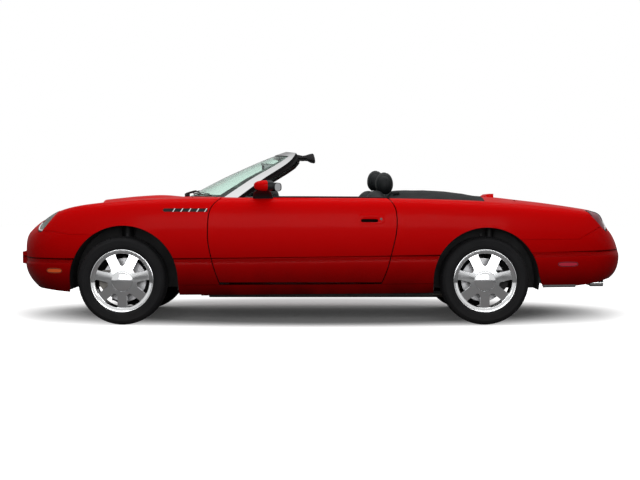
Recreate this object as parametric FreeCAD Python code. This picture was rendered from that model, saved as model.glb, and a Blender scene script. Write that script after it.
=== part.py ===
"""Two-seat convertible car, built as an assembly of body panels, cabin, running gear and lamps.

Millimetres. +X points to the tail, +Y to the car's right-hand side, +Z up. The origin is on the ground,
halfway along the overall length and on the centre plane. The nose points to -X.
"""
import FreeCAD
import Part
import math
import os

Vector = FreeCAD.Vector
os.makedirs("parts", exist_ok=True)

# Overall driving dimensions
LENGTH = 4732.0
WIDTH = 1829.0
FRONT_AXLE_X = -1493.0
REAR_AXLE_X = 1230.0
TYRE_R = 333.0
TYRE_WIDTH = 235.0
TRACK = 1537.0
BELT_Z = 955.0
PANEL_GAP = 8.0
WALL = 20.0
SEAM_WIDTH = 4.0
SEAM_DEPTH = 9.0
PIN_CLEARANCE = 0.3
CUT_OVERRUN = 400.0

HALF_LENGTH = LENGTH / 2
HALF_WIDTH = WIDTH / 2
WHEEL_Z = TYRE_R
WHEEL_Y = TRACK / 2


# Small shape helpers
def box(x0, x1, y0, y1, z0, z1):
    return Part.makeBox(x1 - x0, y1 - y0, z1 - z0, Vector(x0, y0, z0))


def cylinder_y(radius, x, z, y0, y1):
    return Part.makeCylinder(radius, y1 - y0, Vector(x, y0, z), Vector(0, 1, 0))


def rod(a, b, radius):
    run = b - a
    return Part.makeCylinder(radius, run.Length, a, run)


def mirrored(shape):
    return shape.mirror(Vector(0, 0, 0), Vector(0, 1, 0))


def both_sides(shape):
    return Part.makeCompound([shape, mirrored(shape)])


def across(shape):
    """A left half joined to its mirror image over the centre plane."""
    return shape.fuse(mirrored(shape))


def polygon_face(points):
    return Part.Face(Part.makePolygon(points + [points[0]]))


def prism_y(outline, y0, y1):
    """A closed outline of (x, z) points, extruded from y0 to y1."""
    return polygon_face([Vector(x, y0, z) for x, z in outline]).extrude(Vector(0, y1 - y0, 0))


def prism_z(outline, z0, z1):
    """A closed outline of (x, y) points, extruded from z0 to z1."""
    return polygon_face([Vector(x, y, z0) for x, y in outline]).extrude(Vector(0, 0, z1 - z0))


def spline_through(points):
    curve = Part.BSplineCurve()
    curve.interpolate(points)
    return curve.toShape()


def clamped_knots(count):
    """Knots and multiplicities of a clamped cubic with that many control points."""
    spans = count - 3
    return [4] + [1] * (spans - 1) + [4], [float(k) for k in range(spans + 1)]


def cubic_patch(rows):
    """A smooth face whose control points are the given rows of points."""
    u_mults, u_knots = clamped_knots(len(rows))
    v_mults, v_knots = clamped_knots(len(rows[0]))
    surface = Part.BSplineSurface()
    surface.buildFromPolesMultsKnots(rows, u_mults, v_mults, u_knots, v_knots, False, False, 3, 3)
    return surface.toShape()


def cubic_edge(points):
    mults, knots = clamped_knots(len(points))
    curve = Part.BSplineCurve()
    curve.buildFromPolesMultsKnots(points, mults, knots, False, 3)
    return curve.toShape()


def table(x, shares, x_scale=1.0, value_scale=1.0):
    """Straight-line reading of a table of (place share, value share) pairs."""
    x = x / x_scale
    if x <= shares[0][0]:
        return shares[0][1] * value_scale
    for (a, va), (b, vb) in zip(shares, shares[1:]):
        if x <= b:
            return (va + (vb - va) * (x - a) / (b - a)) * value_scale
    return shares[-1][1] * value_scale


# Body form. The widest outline in plan, as shares of half the length and half the width,
# from the middle of the nose round the left side to the middle of the tail.
PLAN_SHARES = [
    (-1.000, 0.000), (-0.9995, 0.120), (-0.994, 0.270), (-0.981, 0.430), (-0.962, 0.575),
    (-0.936, 0.700), (-0.900, 0.795), (-0.850, 0.862), (-0.785, 0.903), (-0.710, 0.931),
    (-0.630, 0.953), (-0.540, 0.971), (-0.450, 0.984), (-0.350, 0.994), (-0.240, 0.9995),
    (-0.120, 1.002), (0.000, 1.002), (0.120, 1.001), (0.230, 0.998), (0.340, 0.993),
    (0.440, 0.984), (0.530, 0.972), (0.620, 0.955), (0.700, 0.934), (0.775, 0.908),
    (0.840, 0.876), (0.890, 0.834), (0.930, 0.770), (0.959, 0.680), (0.979, 0.560),
    (0.992, 0.420), (0.998, 0.270), (0.9997, 0.120), (1.000, 0.000),
]
# Heights along the side, as (share of half the length, share of the belt height)
SILL_SHARES = [
    (-0.79, 0.252), (-0.48, 0.236), (0.36, 0.254), (0.60, 0.285), (0.70, 0.290), (0.85, 0.302), (1.0, 0.314),
]
LEDGE_SHARES = [(-0.90, 0.507), (-0.45, 0.514), (0.10, 0.5345), (0.37, 0.539), (0.68, 0.566), (1.0, 0.573)]
BELT_SHARES = [
    (-0.960, 0.856), (-0.900, 0.886), (-0.863, 0.903), (-0.828, 0.926), (-0.767, 0.950), (-0.690, 0.968),
    (-0.592, 0.986), (-0.478, 0.995), (-0.350, 0.999), (-0.066, 1.000), (0.187, 0.996), (0.345, 0.987),
    (0.472, 0.976), (0.598, 0.960), (0.681, 0.944), (0.757, 0.929), (0.820, 0.909), (0.869, 0.893),
    (0.930, 0.884),
]
CROWN_SHARES = [
    (-0.909, 0.8400), (-0.866, 0.8860), (-0.803, 0.9280), (-0.726, 0.9620), (-0.640, 0.9860),
    (-0.549, 1.0020), (-0.464, 1.0110), (-0.300, 1.0160), (0.520, 1.0120), (0.592, 1.0040),
    (0.634, 0.9900), (0.737, 0.9610), (0.819, 0.9320), (0.887, 0.9050), (0.926, 0.8830),
]
NOSE_SILL_Z = 218.0
TAIL_SILL_Z = 300.0
NOSE_LEDGE_Z = 457.0
TAIL_LEDGE_Z = 533.0
NOSE_LIP_Z = 802.0
TAIL_LIP_Z = 842.0

# Upright levels of the flank below the ledge, as shares from sill to ledge, and how far each level
# lies inside the widest outline, as shares of the side, nose and tail tuck
LOWER_LEVEL_SHARES = [0.0, 0.18, 0.32, 0.50, 0.70, 0.86, 0.96, 1.0]
SIDE_TUCK = 52.0
SIDE_LOWER_SHARES = [1.0, 0.66, 0.44, 0.23, 0.07, 0.0, 0.05, 0.19]
NOSE_TUCK = 160.0
NOSE_LOWER_SHARES = [1.0, 0.66, 0.45, 0.24, 0.11, 0.055, 0.05, 0.075]
TAIL_TUCK = 131.0
TAIL_LOWER_SHARES = [0.98, 0.50, 0.30, 0.15, 0.085, 0.065, 0.09, 0.12]
# The ledge is a narrow shelf that runs right round the car
LEDGE_DEPTH = 10.0
LEDGE_RISE = 4.0
# Levels above the ledge, as shares from ledge to belt
UPPER_LEVEL_SHARES = [0.0, 0.06, 0.15, 0.30, 0.45, 0.60, 0.72, 0.80, 0.88, 0.95, 1.0]
SIDE_LEAN = 70.0
SIDE_UPPER_SHARES = [0.27, 0.20, 0.13, 0.04, 0.0, 0.02, 0.09, 0.19, 0.34, 0.60, 1.0]
NOSE_LEAN = 216.0
NOSE_UPPER_SHARES = [0.06, 0.055, 0.05, 0.055, 0.07, 0.13, 0.30, 0.45, 0.60, 0.79, 1.0]
TAIL_LEAN = 211.0
TAIL_UPPER_SHARES = [0.08, 0.10, 0.14, 0.22, 0.34, 0.52, 0.68, 0.735, 0.78, 0.86, 1.0]
# Steps from the belt to the centre line
TOP_STEP_SHARES = [0.07, 0.17, 0.30, 0.46, 0.64, 0.82, 1.0]
# How flat the top is across the middle before it turns down to the belt
TOP_ROUND = 2.4
# The lines fan out at both ends: where the first and last meet the centre plane, and how far the fan reaches
NOSE_FAN_X = -1900.0
NOSE_FAN_END_X = -1250.0
TAIL_FAN_X = 1980.0
TAIL_FAN_END_X = 1350.0


def plan_curve():
    return cubic_edge([Vector(x * HALF_LENGTH, -y * HALF_WIDTH, 0) for x, y in PLAN_SHARES]).Curve


def plan_stations(count):
    """Evenly spread points on the widest outline, each with its outward normal."""
    curve = plan_curve()
    edge = curve.toShape()
    stations = []
    for distance_share in (k / (count - 1) for k in range(count)):
        t = edge.getParameterByLength(distance_share * edge.Length)
        point = curve.value(t)
        along = curve.tangent(t)[0]
        normal = Vector(along.y, -along.x, 0)
        if point.y == 0:
            normal = Vector(math.copysign(1, point.x), 0, 0)
        stations.append((point, normal))
    return stations


def blend_end(side, nose, tail, normal):
    """A value that goes from the side's to the nose's or the tail's as the outline turns."""
    weight = normal.x ** 2
    end = nose if normal.x < 0 else tail
    return side + (end - side) * weight


class Section:
    """One upright line of control points, from the sill over the belt to the centre line."""

    def __init__(self, point, normal, skin):
        self.point = point
        self.normal = normal
        self.skin = skin
        x = point.x
        self.sill = blend_end(table(x, SILL_SHARES, HALF_LENGTH, BELT_Z), NOSE_SILL_Z, TAIL_SILL_Z, normal)
        self.ledge = blend_end(table(x, LEDGE_SHARES, HALF_LENGTH, BELT_Z), NOSE_LEDGE_Z, TAIL_LEDGE_Z,
                               normal)
        self.belt = blend_end(table(x, BELT_SHARES, HALF_LENGTH, BELT_Z), NOSE_LIP_Z, TAIL_LIP_Z, normal)

    def at(self, inset, z):
        place = self.point - self.normal * (inset + self.skin)
        return Vector(place.x, min(place.y, 0.0), z)

    def lower(self):
        points = []
        for k, share in enumerate(LOWER_LEVEL_SHARES):
            inset = blend_end(
                SIDE_TUCK * SIDE_LOWER_SHARES[k],
                NOSE_TUCK * NOSE_LOWER_SHARES[k],
                TAIL_TUCK * TAIL_LOWER_SHARES[k],
                self.normal,
            )
            points.append(self.at(inset, self.sill + (self.ledge - self.sill) * share))
        return points

    def upper(self):
        low = self.ledge + LEDGE_RISE
        points = []
        for k, share in enumerate(UPPER_LEVEL_SHARES):
            inset = blend_end(
                SIDE_LEAN * SIDE_UPPER_SHARES[k],
                NOSE_LEAN * NOSE_UPPER_SHARES[k],
                TAIL_LEAN * TAIL_UPPER_SHARES[k],
                self.normal,
            )
            points.append(self.at(inset, low + (self.belt - low) * share - self.skin * share))
        return points


def fan_places(belt_x):
    """Where each line meets the centre plane, fanned out behind the nose and ahead of the tail."""
    places = list(belt_x)
    first = next(k for k, x in enumerate(belt_x) if x > NOSE_FAN_END_X)
    last = next(k for k, x in enumerate(belt_x) if x > TAIL_FAN_END_X) - 1
    for k in range(first):
        places[k] = NOSE_FAN_X + (belt_x[first] - NOSE_FAN_X) * k / first
    for k in range(last + 1, len(belt_x)):
        run = (k - last) / (len(belt_x) - 1 - last)
        places[k] = belt_x[last] + (TAIL_FAN_X - belt_x[last]) * run
    return places


def crown_z(x):
    return table(x, CROWN_SHARES, HALF_LENGTH, BELT_Z)


def body_half(skin, sill_drop, stations):
    """The left half of the body as one closed solid, drawn in by skin and carried down by sill_drop."""
    sections = [Section(point, normal, skin) for point, normal in stations]
    lower = [s.lower() for s in sections]
    for line in lower:
        line[0] = line[0] - Vector(0, 0, sill_drop)
    upper = [s.upper() for s in sections]
    belt = [line[-1] for line in upper]
    centre_x = fan_places([b.x for b in belt])
    nose_tip, tail_tip = belt[0].x, belt[-1].x
    belt_table = sorted((b.x, -b.y, b.z) for b in belt)
    width_at = [(x, w) for x, w, _ in belt_table]
    height_at = [(x, z) for x, _, z in belt_table]
    for k, line in enumerate(upper):
        start = belt[k]
        end = Vector(centre_x[k], 0, 0)
        for step in TOP_STEP_SHARES:
            x = start.x + (end.x - start.x) * step
            y = start.y + (end.y - start.y) * step
            half = max(table(x, width_at), 1.0)
            edge_z = table(x, height_at)
            crown = crown_z(min(max(x, nose_tip), tail_tip)) - skin
            out = min(abs(y) / half, 1.0)
            line.append(Vector(x, y, crown - (crown - edge_z) * out ** TOP_ROUND))
    return closed_half(lower, upper)


def closed_half(lower, upper):
    """Sews a half body from its lower and upper control nets, the ledge, the floor and the centre plane."""
    faces = [cubic_patch(lower), cubic_patch(upper)]
    ledge_out = cubic_edge([line[-1] for line in lower])
    ledge_in = cubic_edge([line[0] for line in upper])
    faces.append(Part.makeRuledSurface(ledge_out, ledge_in))
    sill = cubic_edge([line[0] for line in lower])
    floor = cubic_edge([Vector(line[0].x, 0, line[0].z) for line in lower])
    faces.append(Part.makeRuledSurface(sill, floor))
    ends = []
    for line_low, line_high in ((lower[0], upper[0]), (lower[-1], upper[-1])):
        ends.append(cubic_edge(line_low))
        ends.append(Part.makeLine(line_low[-1], line_high[0]))
        ends.append(cubic_edge(line_high))
    ridge = cubic_edge([line[-1] for line in upper])
    boundary = Part.Wire(Part.__sortEdges__(ends + [ridge, floor]))
    faces.append(Part.Face(boundary))
    shell = Part.Shell(Part.makeShell(faces).Faces)
    shell.sewShape()
    solid = Part.Solid(shell)
    if solid.Volume < 0:
        solid.reverse()
    return solid


STATION_COUNT = 44
STATIONS = plan_stations(STATION_COUNT)
OUTER = body_half(0.0, 0.0, STATIONS)
INNER = body_half(WALL, CUT_OVERRUN, STATIONS)
SEAM_FLOOR = body_half(SEAM_DEPTH, CUT_OVERRUN, STATIONS)
SKIN = OUTER.cut(INNER)
SEAM_SKIN = OUTER.cut(SEAM_FLOOR)
FAR_Y = HALF_WIDTH + CUT_OVERRUN
FAR_X = HALF_LENGTH + CUT_OVERRUN
FAR_Z = BELT_Z + CUT_OVERRUN

# Wheel arches, as circles in the side view, and the bay behind each
FRONT_ARCH_X = FRONT_AXLE_X + 7.0
REAR_ARCH_X = REAR_AXLE_X + 12.0
ARCH_Z = TYRE_R + 1.0
FRONT_ARCH_R = 414.0
REAR_ARCH_R = 400.0
FRONT_BAY_Y = 455.0
REAR_BAY_Y = 560.0
LINER = 6.0
LINER_LOW_Z = 262.0
ARCH_HEEL_X = -1052.0
REAR_HEEL_X = 1690.0
REAR_HEEL_Z = 230.0
REAR_FLARE_Z = 390.0


FRONT_ARCH = cylinder_y(FRONT_ARCH_R, FRONT_ARCH_X, ARCH_Z, -FAR_Y, -FRONT_BAY_Y).fuse(
    prism_y(
        [
            (FRONT_ARCH_X, ARCH_Z),
            (FRONT_ARCH_X + FRONT_ARCH_R, ARCH_Z),
            (ARCH_HEEL_X + SEAM_WIDTH, 0.0),
            (FRONT_ARCH_X - FRONT_ARCH_R, 0.0),
            (FRONT_ARCH_X - FRONT_ARCH_R, ARCH_Z),
        ],
        -FAR_Y,
        -FRONT_BAY_Y,
    )
)
REAR_ARCH = cylinder_y(REAR_ARCH_R, REAR_ARCH_X, ARCH_Z, -FAR_Y, -REAR_BAY_Y).fuse(
    prism_y(
        [
            (REAR_ARCH_X - REAR_ARCH_R, ARCH_Z),
            (REAR_ARCH_X, REAR_FLARE_Z),
            (REAR_ARCH_X + math.sqrt(REAR_ARCH_R ** 2 - (REAR_FLARE_Z - ARCH_Z) ** 2), REAR_FLARE_Z),
            (REAR_HEEL_X, REAR_HEEL_Z),
            (REAR_HEEL_X, 0.0),
            (REAR_ARCH_X - REAR_ARCH_R, 0.0),
        ],
        -FAR_Y,
        -REAR_BAY_Y,
    )
)
ARCHES = FRONT_ARCH.fuse(REAR_ARCH)

# Door shut lines in the side view, as shares of the door's length and height
DOOR_FRONT_X = -851.0
DOOR_REAR_X = 571.0
DOOR_SILL_Z = 308.0
DOOR_LENGTH = DOOR_REAR_X - DOOR_FRONT_X
DOOR_HEIGHT = BELT_Z - DOOR_SILL_Z
DOOR_FRONT_SHARES = [
    (0.0640, -0.006), (0.0267, 0.227), (0.0134, 0.342), (0.0, 0.515), (0.0005, 0.688),
    (0.0162, 0.884), (0.0527, 0.977), (0.120, 1.100),
]
DOOR_REAR_SHARES = [
    (0.9160, 0.0), (0.9395, 0.111), (0.9684, 0.318), (0.9838, 0.4575), (0.9972, 0.6074),
    (1.0, 0.768), (0.9895, 0.895), (0.9606, 0.9876), (0.9050, 1.100),
]
# Sill line under the door, from arch to arch
SILL_FRONT_Z = 302.0
SILL_REAR_Z = 316.0
# Seams between the wings and the bumper covers
FRONT_SEAM_LAMP_Z = 702.0
FRONT_SEAM_ARCH_Z = 678.0
REAR_SEAM_Z = 642.0
REAR_SEAM_BEND_X = 1945.0
REAR_SEAM_LAMP_X = 2118.0
REAR_SEAM_LAMP_Z = 731.0
# Plan outlines of the lids and the seam lines between them and the wings
HOOD_NOSE_X = -2140.0
HOOD_NOSE_CORNER_X = -2070.0
HOOD_NOSE_HALF = 545.0
HOOD_REAR_X = -985.0
HOOD_REAR_HALF = 655.0
HOOD_REAR_CENTRE_X = -1130.0
HOOD_HINGE_Y = 635.0
HOOD_NEAR_SHARE = 0.58
HOOD_FAR_SHARE = 0.88
LID_MIDDLE_SHARE = 0.45
LID_FRONT_X = 1500.0
LID_FRONT_CENTRE_X = 1556.0
LID_FRONT_HALF = 590.0
LID_REAR_HALF = 540.0
LID_BOTTOM_Z = 700.0
LID_HINGE_Y = 530.0
LID_GAP = 14.0
HOOD_REAR_GAP = 14.0
COWL_HALF = 768.0
COWL_REAR_X = -600.0
COWL_REAR_HALF = 756.0
COWL_REAR_CENTRE_X = -985.0
DECK_FRONT_X = 1240.0
DECK_HALF = 610.0
CABIN_HALF = 775.0
NOSE_SPLIT_Y = 680.0
NOSE_SPLIT_X = -2035.0


def door_line(shares, shift):
    points = [
        Vector(DOOR_FRONT_X + x * DOOR_LENGTH + shift, 0, DOOR_SILL_Z + z * DOOR_HEIGHT) for x, z in shares
    ]
    return spline_through(points)


def closed_by_lines(curves):
    """Joins curves end to end in order with straight edges into one face."""
    edges = []
    for curve, following in zip(curves, curves[1:] + curves[:1]):
        edges.append(curve)
        a, b = curve.lastVertex().Point, following.firstVertex().Point
        if a.distanceToPoint(b) > 0.001:
            edges.append(Part.makeLine(a, b))
    return Part.Face(Part.Wire(edges))


def turned(edge):
    """The same curve, run the other way."""
    curve = edge.Curve.copy()
    curve.reverse()
    return curve.toShape()


def line(x0, z0, x1, z1):
    return Part.makeLine(Vector(x0, 0, z0), Vector(x1, 0, z1))


def through(face, y0, y1):
    """A side-view face made solid between y0 and y1."""
    moved = face.copy()
    moved.translate(Vector(0, y0, 0))
    return moved.extrude(Vector(0, y1 - y0, 0))


def upwards(face, z0, z1):
    moved = face.copy()
    moved.translate(Vector(0, 0, z0))
    return moved.extrude(Vector(0, 0, z1 - z0))


def door_zone(gap, y0, y1):
    front = door_line(DOOR_FRONT_SHARES, gap)
    rear = turned(door_line(DOOR_REAR_SHARES, -gap))
    return through(closed_by_lines([front, rear]), y0, y1)


def sill_line_z(x):
    return SILL_FRONT_Z + (SILL_REAR_Z - SILL_FRONT_Z) * (x - ARCH_HEEL_X) / (REAR_ARCH_X - ARCH_HEEL_X)


def zone_y(points):
    return prism_y(points, -FAR_Y, 0.0)


ABOVE_SILL = zone_y(
    [
        (-FAR_X, 0.0),
        (ARCH_HEEL_X - FRONT_ARCH_R, 0.0),
        (ARCH_HEEL_X - FRONT_ARCH_R, sill_line_z(ARCH_HEEL_X)),
        (REAR_ARCH_X, sill_line_z(REAR_ARCH_X)),
        (REAR_ARCH_X, 0.0),
        (FAR_X, 0.0),
        (FAR_X, FAR_Z),
        (-FAR_X, FAR_Z),
    ]
)
BELOW_FRONT_SEAM = zone_y(
    [
        (-FAR_X, -CUT_OVERRUN),
        (FRONT_ARCH_X, -CUT_OVERRUN),
        (FRONT_ARCH_X, FRONT_SEAM_ARCH_Z),
        (FRONT_ARCH_X - FRONT_ARCH_R, FRONT_SEAM_ARCH_Z),
        (NOSE_SPLIT_X, FRONT_SEAM_LAMP_Z),
        (-FAR_X, FRONT_SEAM_LAMP_Z),
    ]
)
BELOW_REAR_SEAM = zone_y(
    [
        (REAR_ARCH_X, -CUT_OVERRUN),
        (FAR_X, -CUT_OVERRUN),
        (FAR_X, REAR_SEAM_LAMP_Z),
        (REAR_SEAM_LAMP_X, REAR_SEAM_LAMP_Z),
        (REAR_SEAM_BEND_X, REAR_SEAM_Z),
        (REAR_ARCH_X, REAR_SEAM_Z),
    ]
)


def plan_zone(curves):
    return upwards(closed_by_lines(curves), 0.0, FAR_Z)


BOW_STEPS = 6


def bow_x(x_side, half, x_centre, y):
    """Where a bowed line stands, y out from the centre plane; it is square to the length at both ends."""
    share = y / half
    return x_centre + (x_side - x_centre) * share ** 2 * (3 - 2 * share)


def bowed(x_side, half, x_centre):
    """A plan-view line from (x_centre, 0) to (x_side, -half)."""
    points = []
    for k in range(BOW_STEPS + 1):
        y = half * k / BOW_STEPS
        points.append(Vector(bow_x(x_side, half, x_centre, y), -y, 0))
    return spline_through(points)


def plan_line(x0, y0, x1, y1):
    return Part.makeLine(Vector(x0, y0, 0), Vector(x1, y1, 0))


def part_way(start, end, share):
    return start + (end - start) * share


def hood_zone(gap, rear_gap):
    """The hood's plan outline, grown by the gap at its sides and nose and by rear_gap behind."""
    nose = bowed(HOOD_NOSE_CORNER_X - gap, HOOD_NOSE_HALF + gap, HOOD_NOSE_X - gap)
    near = part_way(HOOD_NOSE_HALF, HOOD_REAR_HALF, HOOD_NEAR_SHARE)
    far = part_way(HOOD_NOSE_HALF, HOOD_REAR_HALF, HOOD_FAR_SHARE)
    side = spline_through(
        [
            Vector(HOOD_NOSE_CORNER_X - gap, -HOOD_NOSE_HALF - gap, 0),
            Vector(part_way(HOOD_NOSE_CORNER_X, HOOD_REAR_X, 1 / 3), -gap - near, 0),
            Vector(part_way(HOOD_NOSE_CORNER_X, HOOD_REAR_X, 2 / 3), -gap - far, 0),
            Vector(HOOD_REAR_X + rear_gap, -HOOD_REAR_HALF - gap, 0),
        ]
    )
    rear = turned(bowed(HOOD_REAR_X + rear_gap, HOOD_REAR_HALF + gap, HOOD_REAR_CENTRE_X + rear_gap))
    return plan_zone([nose, side, rear])


def lid_zone(gap, front_gap):
    """The trunk lid's plan outline, grown by gap at its sides and by front_gap ahead."""
    front = bowed(LID_FRONT_X - front_gap, LID_FRONT_HALF + gap, LID_FRONT_CENTRE_X - front_gap)
    middle = part_way(LID_FRONT_HALF, LID_REAR_HALF, LID_MIDDLE_SHARE)
    side = spline_through(
        [
            Vector(LID_FRONT_X - front_gap, -LID_FRONT_HALF - gap, 0),
            Vector((LID_FRONT_X + HALF_LENGTH) / 2, -gap - middle, 0),
            Vector(HALF_LENGTH, -LID_REAR_HALF - gap, 0),
        ]
    )
    return plan_zone([front, side, plan_line(HALF_LENGTH, -LID_REAR_HALF - gap, FAR_X, -LID_REAR_HALF - gap),
                      plan_line(FAR_X, -LID_REAR_HALF - gap, FAR_X, 0)])


HOOD_CUT = hood_zone(PANEL_GAP, HOOD_REAR_GAP)
LID_CUT = lid_zone(PANEL_GAP, LID_GAP).common(box(0, FAR_X, -FAR_Y, 0, LID_BOTTOM_Z, FAR_Z))
NOSE_BLOCK = plan_zone(
    [
        plan_line(-FAR_X, 0, -FAR_X, -NOSE_SPLIT_Y),
        plan_line(-FAR_X, -NOSE_SPLIT_Y, NOSE_SPLIT_X, -NOSE_SPLIT_Y),
        plan_line(NOSE_SPLIT_X, -NOSE_SPLIT_Y, HOOD_NOSE_CORNER_X + PANEL_GAP, -HOOD_NOSE_HALF),
        plan_line(HOOD_NOSE_CORNER_X + PANEL_GAP, -HOOD_NOSE_HALF, HOOD_NOSE_X + CUT_OVERRUN, 0),
    ]
)
CABIN_CUT = plan_zone(
    [
        plan_line(HOOD_REAR_X, 0, HOOD_REAR_X, -COWL_HALF),
        plan_line(HOOD_REAR_X, -COWL_HALF, DOOR_FRONT_X + WALL, -COWL_HALF),
        plan_line(DOOR_FRONT_X + WALL, -CABIN_HALF, DECK_FRONT_X, -CABIN_HALF),
        plan_line(DECK_FRONT_X, -CABIN_HALF, DECK_FRONT_X, 0),
    ]
).common(box(-FAR_X, FAR_X, -FAR_Y, 0, BELT_Z - WALL * 4, FAR_Z))
DECK_ZONE = box(DECK_FRONT_X, LID_FRONT_CENTRE_X, -DECK_HALF, 0, BELT_Z - WALL * 6, FAR_Z)

# Lamp housings
HEADLAMP_R = 86.0
HEADLAMP_Y = 672.0
HEADLAMP_Z = 782.0
HEADLAMP_DEPTH = 150.0
HEADLAMP_TOP_X = -1985.0
HEADLAMP_FOOT_X = -2130.0
TAIL_LAMP_R = 84.0
TAIL_LAMP_Y = 648.0
TAIL_LAMP_Z = 782.0
TAIL_LAMP_FRONT_X = 1990.0
TAIL_LAMP_TOP_X = 2003.0
TAIL_LAMP_FOOT_X = 2174.0


def cylinder_x(radius, x0, x1, y, z):
    return Part.makeCylinder(radius, x1 - x0, Vector(x0, y, z), Vector(1, 0, 0))


def beyond(end_x, top_x, foot_x, z, radius):
    """The space between one end of the car and a line that leans from foot to top of a lamp."""
    return zone_y([(end_x, z - radius), (foot_x, z - radius), (top_x, z + radius), (end_x, z + radius)])


HEADLAMP_BARREL = cylinder_x(
    HEADLAMP_R, -FAR_X, NOSE_SPLIT_X + HEADLAMP_DEPTH, -HEADLAMP_Y, HEADLAMP_Z
).common(beyond(-FAR_X, HEADLAMP_TOP_X, HEADLAMP_FOOT_X, HEADLAMP_Z, HEADLAMP_R))
TAIL_LAMP_BARREL = cylinder_x(
    TAIL_LAMP_R, TAIL_LAMP_FRONT_X, FAR_X, -TAIL_LAMP_Y, TAIL_LAMP_Z
).common(beyond(FAR_X, TAIL_LAMP_TOP_X, TAIL_LAMP_FOOT_X, TAIL_LAMP_Z, TAIL_LAMP_R))


def seam(zone, dx, dz):
    """A shallow groove in the outer skin, just outside the edges of a zone that face (dx, dz)."""
    moved = zone.copy()
    moved.translate(Vector(dx, 0, dz))
    return SEAM_SKIN.common(moved.cut(zone))


# Wings and bumper covers of the left side
AHEAD_OF_DOOR = through(
    closed_by_lines([door_line(DOOR_FRONT_SHARES, 0.0), line(DOOR_REAR_X, FAR_Z, -FAR_X, FAR_Z),
                     line(-FAR_X, FAR_Z, -FAR_X, 0.0)]), -FAR_Y, 0.0)
BEHIND_DOOR = through(
    closed_by_lines([door_line(DOOR_REAR_SHARES, 0.0), line(REAR_AXLE_X, FAR_Z, FAR_X, FAR_Z),
                     line(FAR_X, FAR_Z, FAR_X, 0.0)]), -FAR_Y, 0.0)
FRONT_COVER_ZONE = BELOW_FRONT_SEAM.fuse(NOSE_BLOCK)
LOUVRE_FRONT_X = -1187.0
LOUVRE_REAR_X = -833.0
LOUVRE_LOW_Z = 851.0
LOUVRE_HIGH_Z = 877.0
LOUVRE_SLANT = 14.0
LOUVRE_FLOOR_Y = 868.0
LOUVRE_PLATE = 4.0
STRAKE_COUNT = 5
STRAKE_X = -1112.0
STRAKE_PITCH = 59.8
STRAKE_THICK = 7.0
STRAKE_LEAN = 16.0
HANDLE_FRONT_X = 291.0
HANDLE_REAR_X = 463.0
HANDLE_LOW_Z = 768.0
HANDLE_HIGH_Z = 835.0
HANDLE_FLOOR_Y = 893.0
HANDLE_SLOT_Z = 799.0
HANDLE_EASE = 4.0
LOUVRE_OUTLINE = [
    (LOUVRE_FRONT_X + LOUVRE_SLANT, LOUVRE_HIGH_Z),
    (LOUVRE_FRONT_X, LOUVRE_LOW_Z + LOUVRE_SLANT),
    (LOUVRE_FRONT_X + LOUVRE_SLANT, LOUVRE_LOW_Z),
    (LOUVRE_REAR_X - LOUVRE_SLANT, LOUVRE_LOW_Z),
    (LOUVRE_REAR_X - LOUVRE_SLANT, LOUVRE_HIGH_Z),
]
LOUVRE_CUT = prism_y(LOUVRE_OUTLINE, -FAR_Y, -LOUVRE_FLOOR_Y)


def louvre():
    """The insert of the wing vent: a back plate with slanted strakes, flush with the wing."""
    insert = prism_y(LOUVRE_OUTLINE, -LOUVRE_FLOOR_Y - LOUVRE_PLATE, -LOUVRE_FLOOR_Y)
    for k in range(STRAKE_COUNT):
        x = STRAKE_X + k * STRAKE_PITCH
        insert = insert.fuse(
            prism_y(
                [
                    (x, LOUVRE_LOW_Z), (x + STRAKE_THICK, LOUVRE_LOW_Z),
                    (x + STRAKE_THICK + STRAKE_LEAN, LOUVRE_HIGH_Z), (x + STRAKE_LEAN, LOUVRE_HIGH_Z),
                ],
                -FAR_Y,
                -LOUVRE_FLOOR_Y,
            )
        )
    return insert.common(OUTER)



COWL_ZONE = plan_zone(
    [
        bowed(HOOD_REAR_X + HOOD_REAR_GAP, HOOD_REAR_HALF + PANEL_GAP, HOOD_REAR_CENTRE_X + HOOD_REAR_GAP),
        plan_line(HOOD_REAR_X + HOOD_REAR_GAP, -HOOD_REAR_HALF - PANEL_GAP, HOOD_REAR_X, -COWL_HALF),
        turned(bowed(COWL_REAR_X, COWL_REAR_HALF, COWL_REAR_CENTRE_X)),
    ]
)

front_cover_left = SKIN.common(FRONT_COVER_ZONE).cut(HOOD_CUT).cut(ARCHES).cut(HEADLAMP_BARREL)
fender_left = (
    SKIN.common(AHEAD_OF_DOOR).common(ABOVE_SILL).cut(FRONT_COVER_ZONE).cut(HOOD_CUT).cut(ARCHES)
    .cut(HEADLAMP_BARREL).cut(CABIN_CUT).cut(COWL_ZONE).cut(LOUVRE_CUT)
    .cut(seam(FRONT_COVER_ZONE, SEAM_WIDTH, SEAM_WIDTH))
)
rear_cover_left = SKIN.common(BELOW_REAR_SEAM).cut(LID_CUT).cut(ARCHES).cut(TAIL_LAMP_BARREL)
quarter_left = (
    SKIN.common(BEHIND_DOOR).common(ABOVE_SILL).cut(BELOW_REAR_SEAM).cut(LID_CUT).cut(ARCHES)
    .cut(TAIL_LAMP_BARREL).cut(CABIN_CUT).cut(DECK_ZONE)
    .cut(seam(BELOW_REAR_SEAM, -SEAM_WIDTH, SEAM_WIDTH))
)
hood_half = SKIN.common(hood_zone(0.0, 0.0)).common(box(-FAR_X, 0, -FAR_Y, 0, FRONT_SEAM_LAMP_Z, FAR_Z))
lid_half = SKIN.common(lid_zone(0.0, 0.0)).common(box(0, FAR_X, -FAR_Y, 0, LID_BOTTOM_Z + PANEL_GAP, FAR_Z))
deck_half = SKIN.common(DECK_ZONE).cut(lid_zone(PANEL_GAP, LID_GAP))
cowl_half = SKIN.common(COWL_ZONE).common(box(-FAR_X, 0, -FAR_Y, 0, BELT_Z - WALL * 4, FAR_Z))

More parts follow.
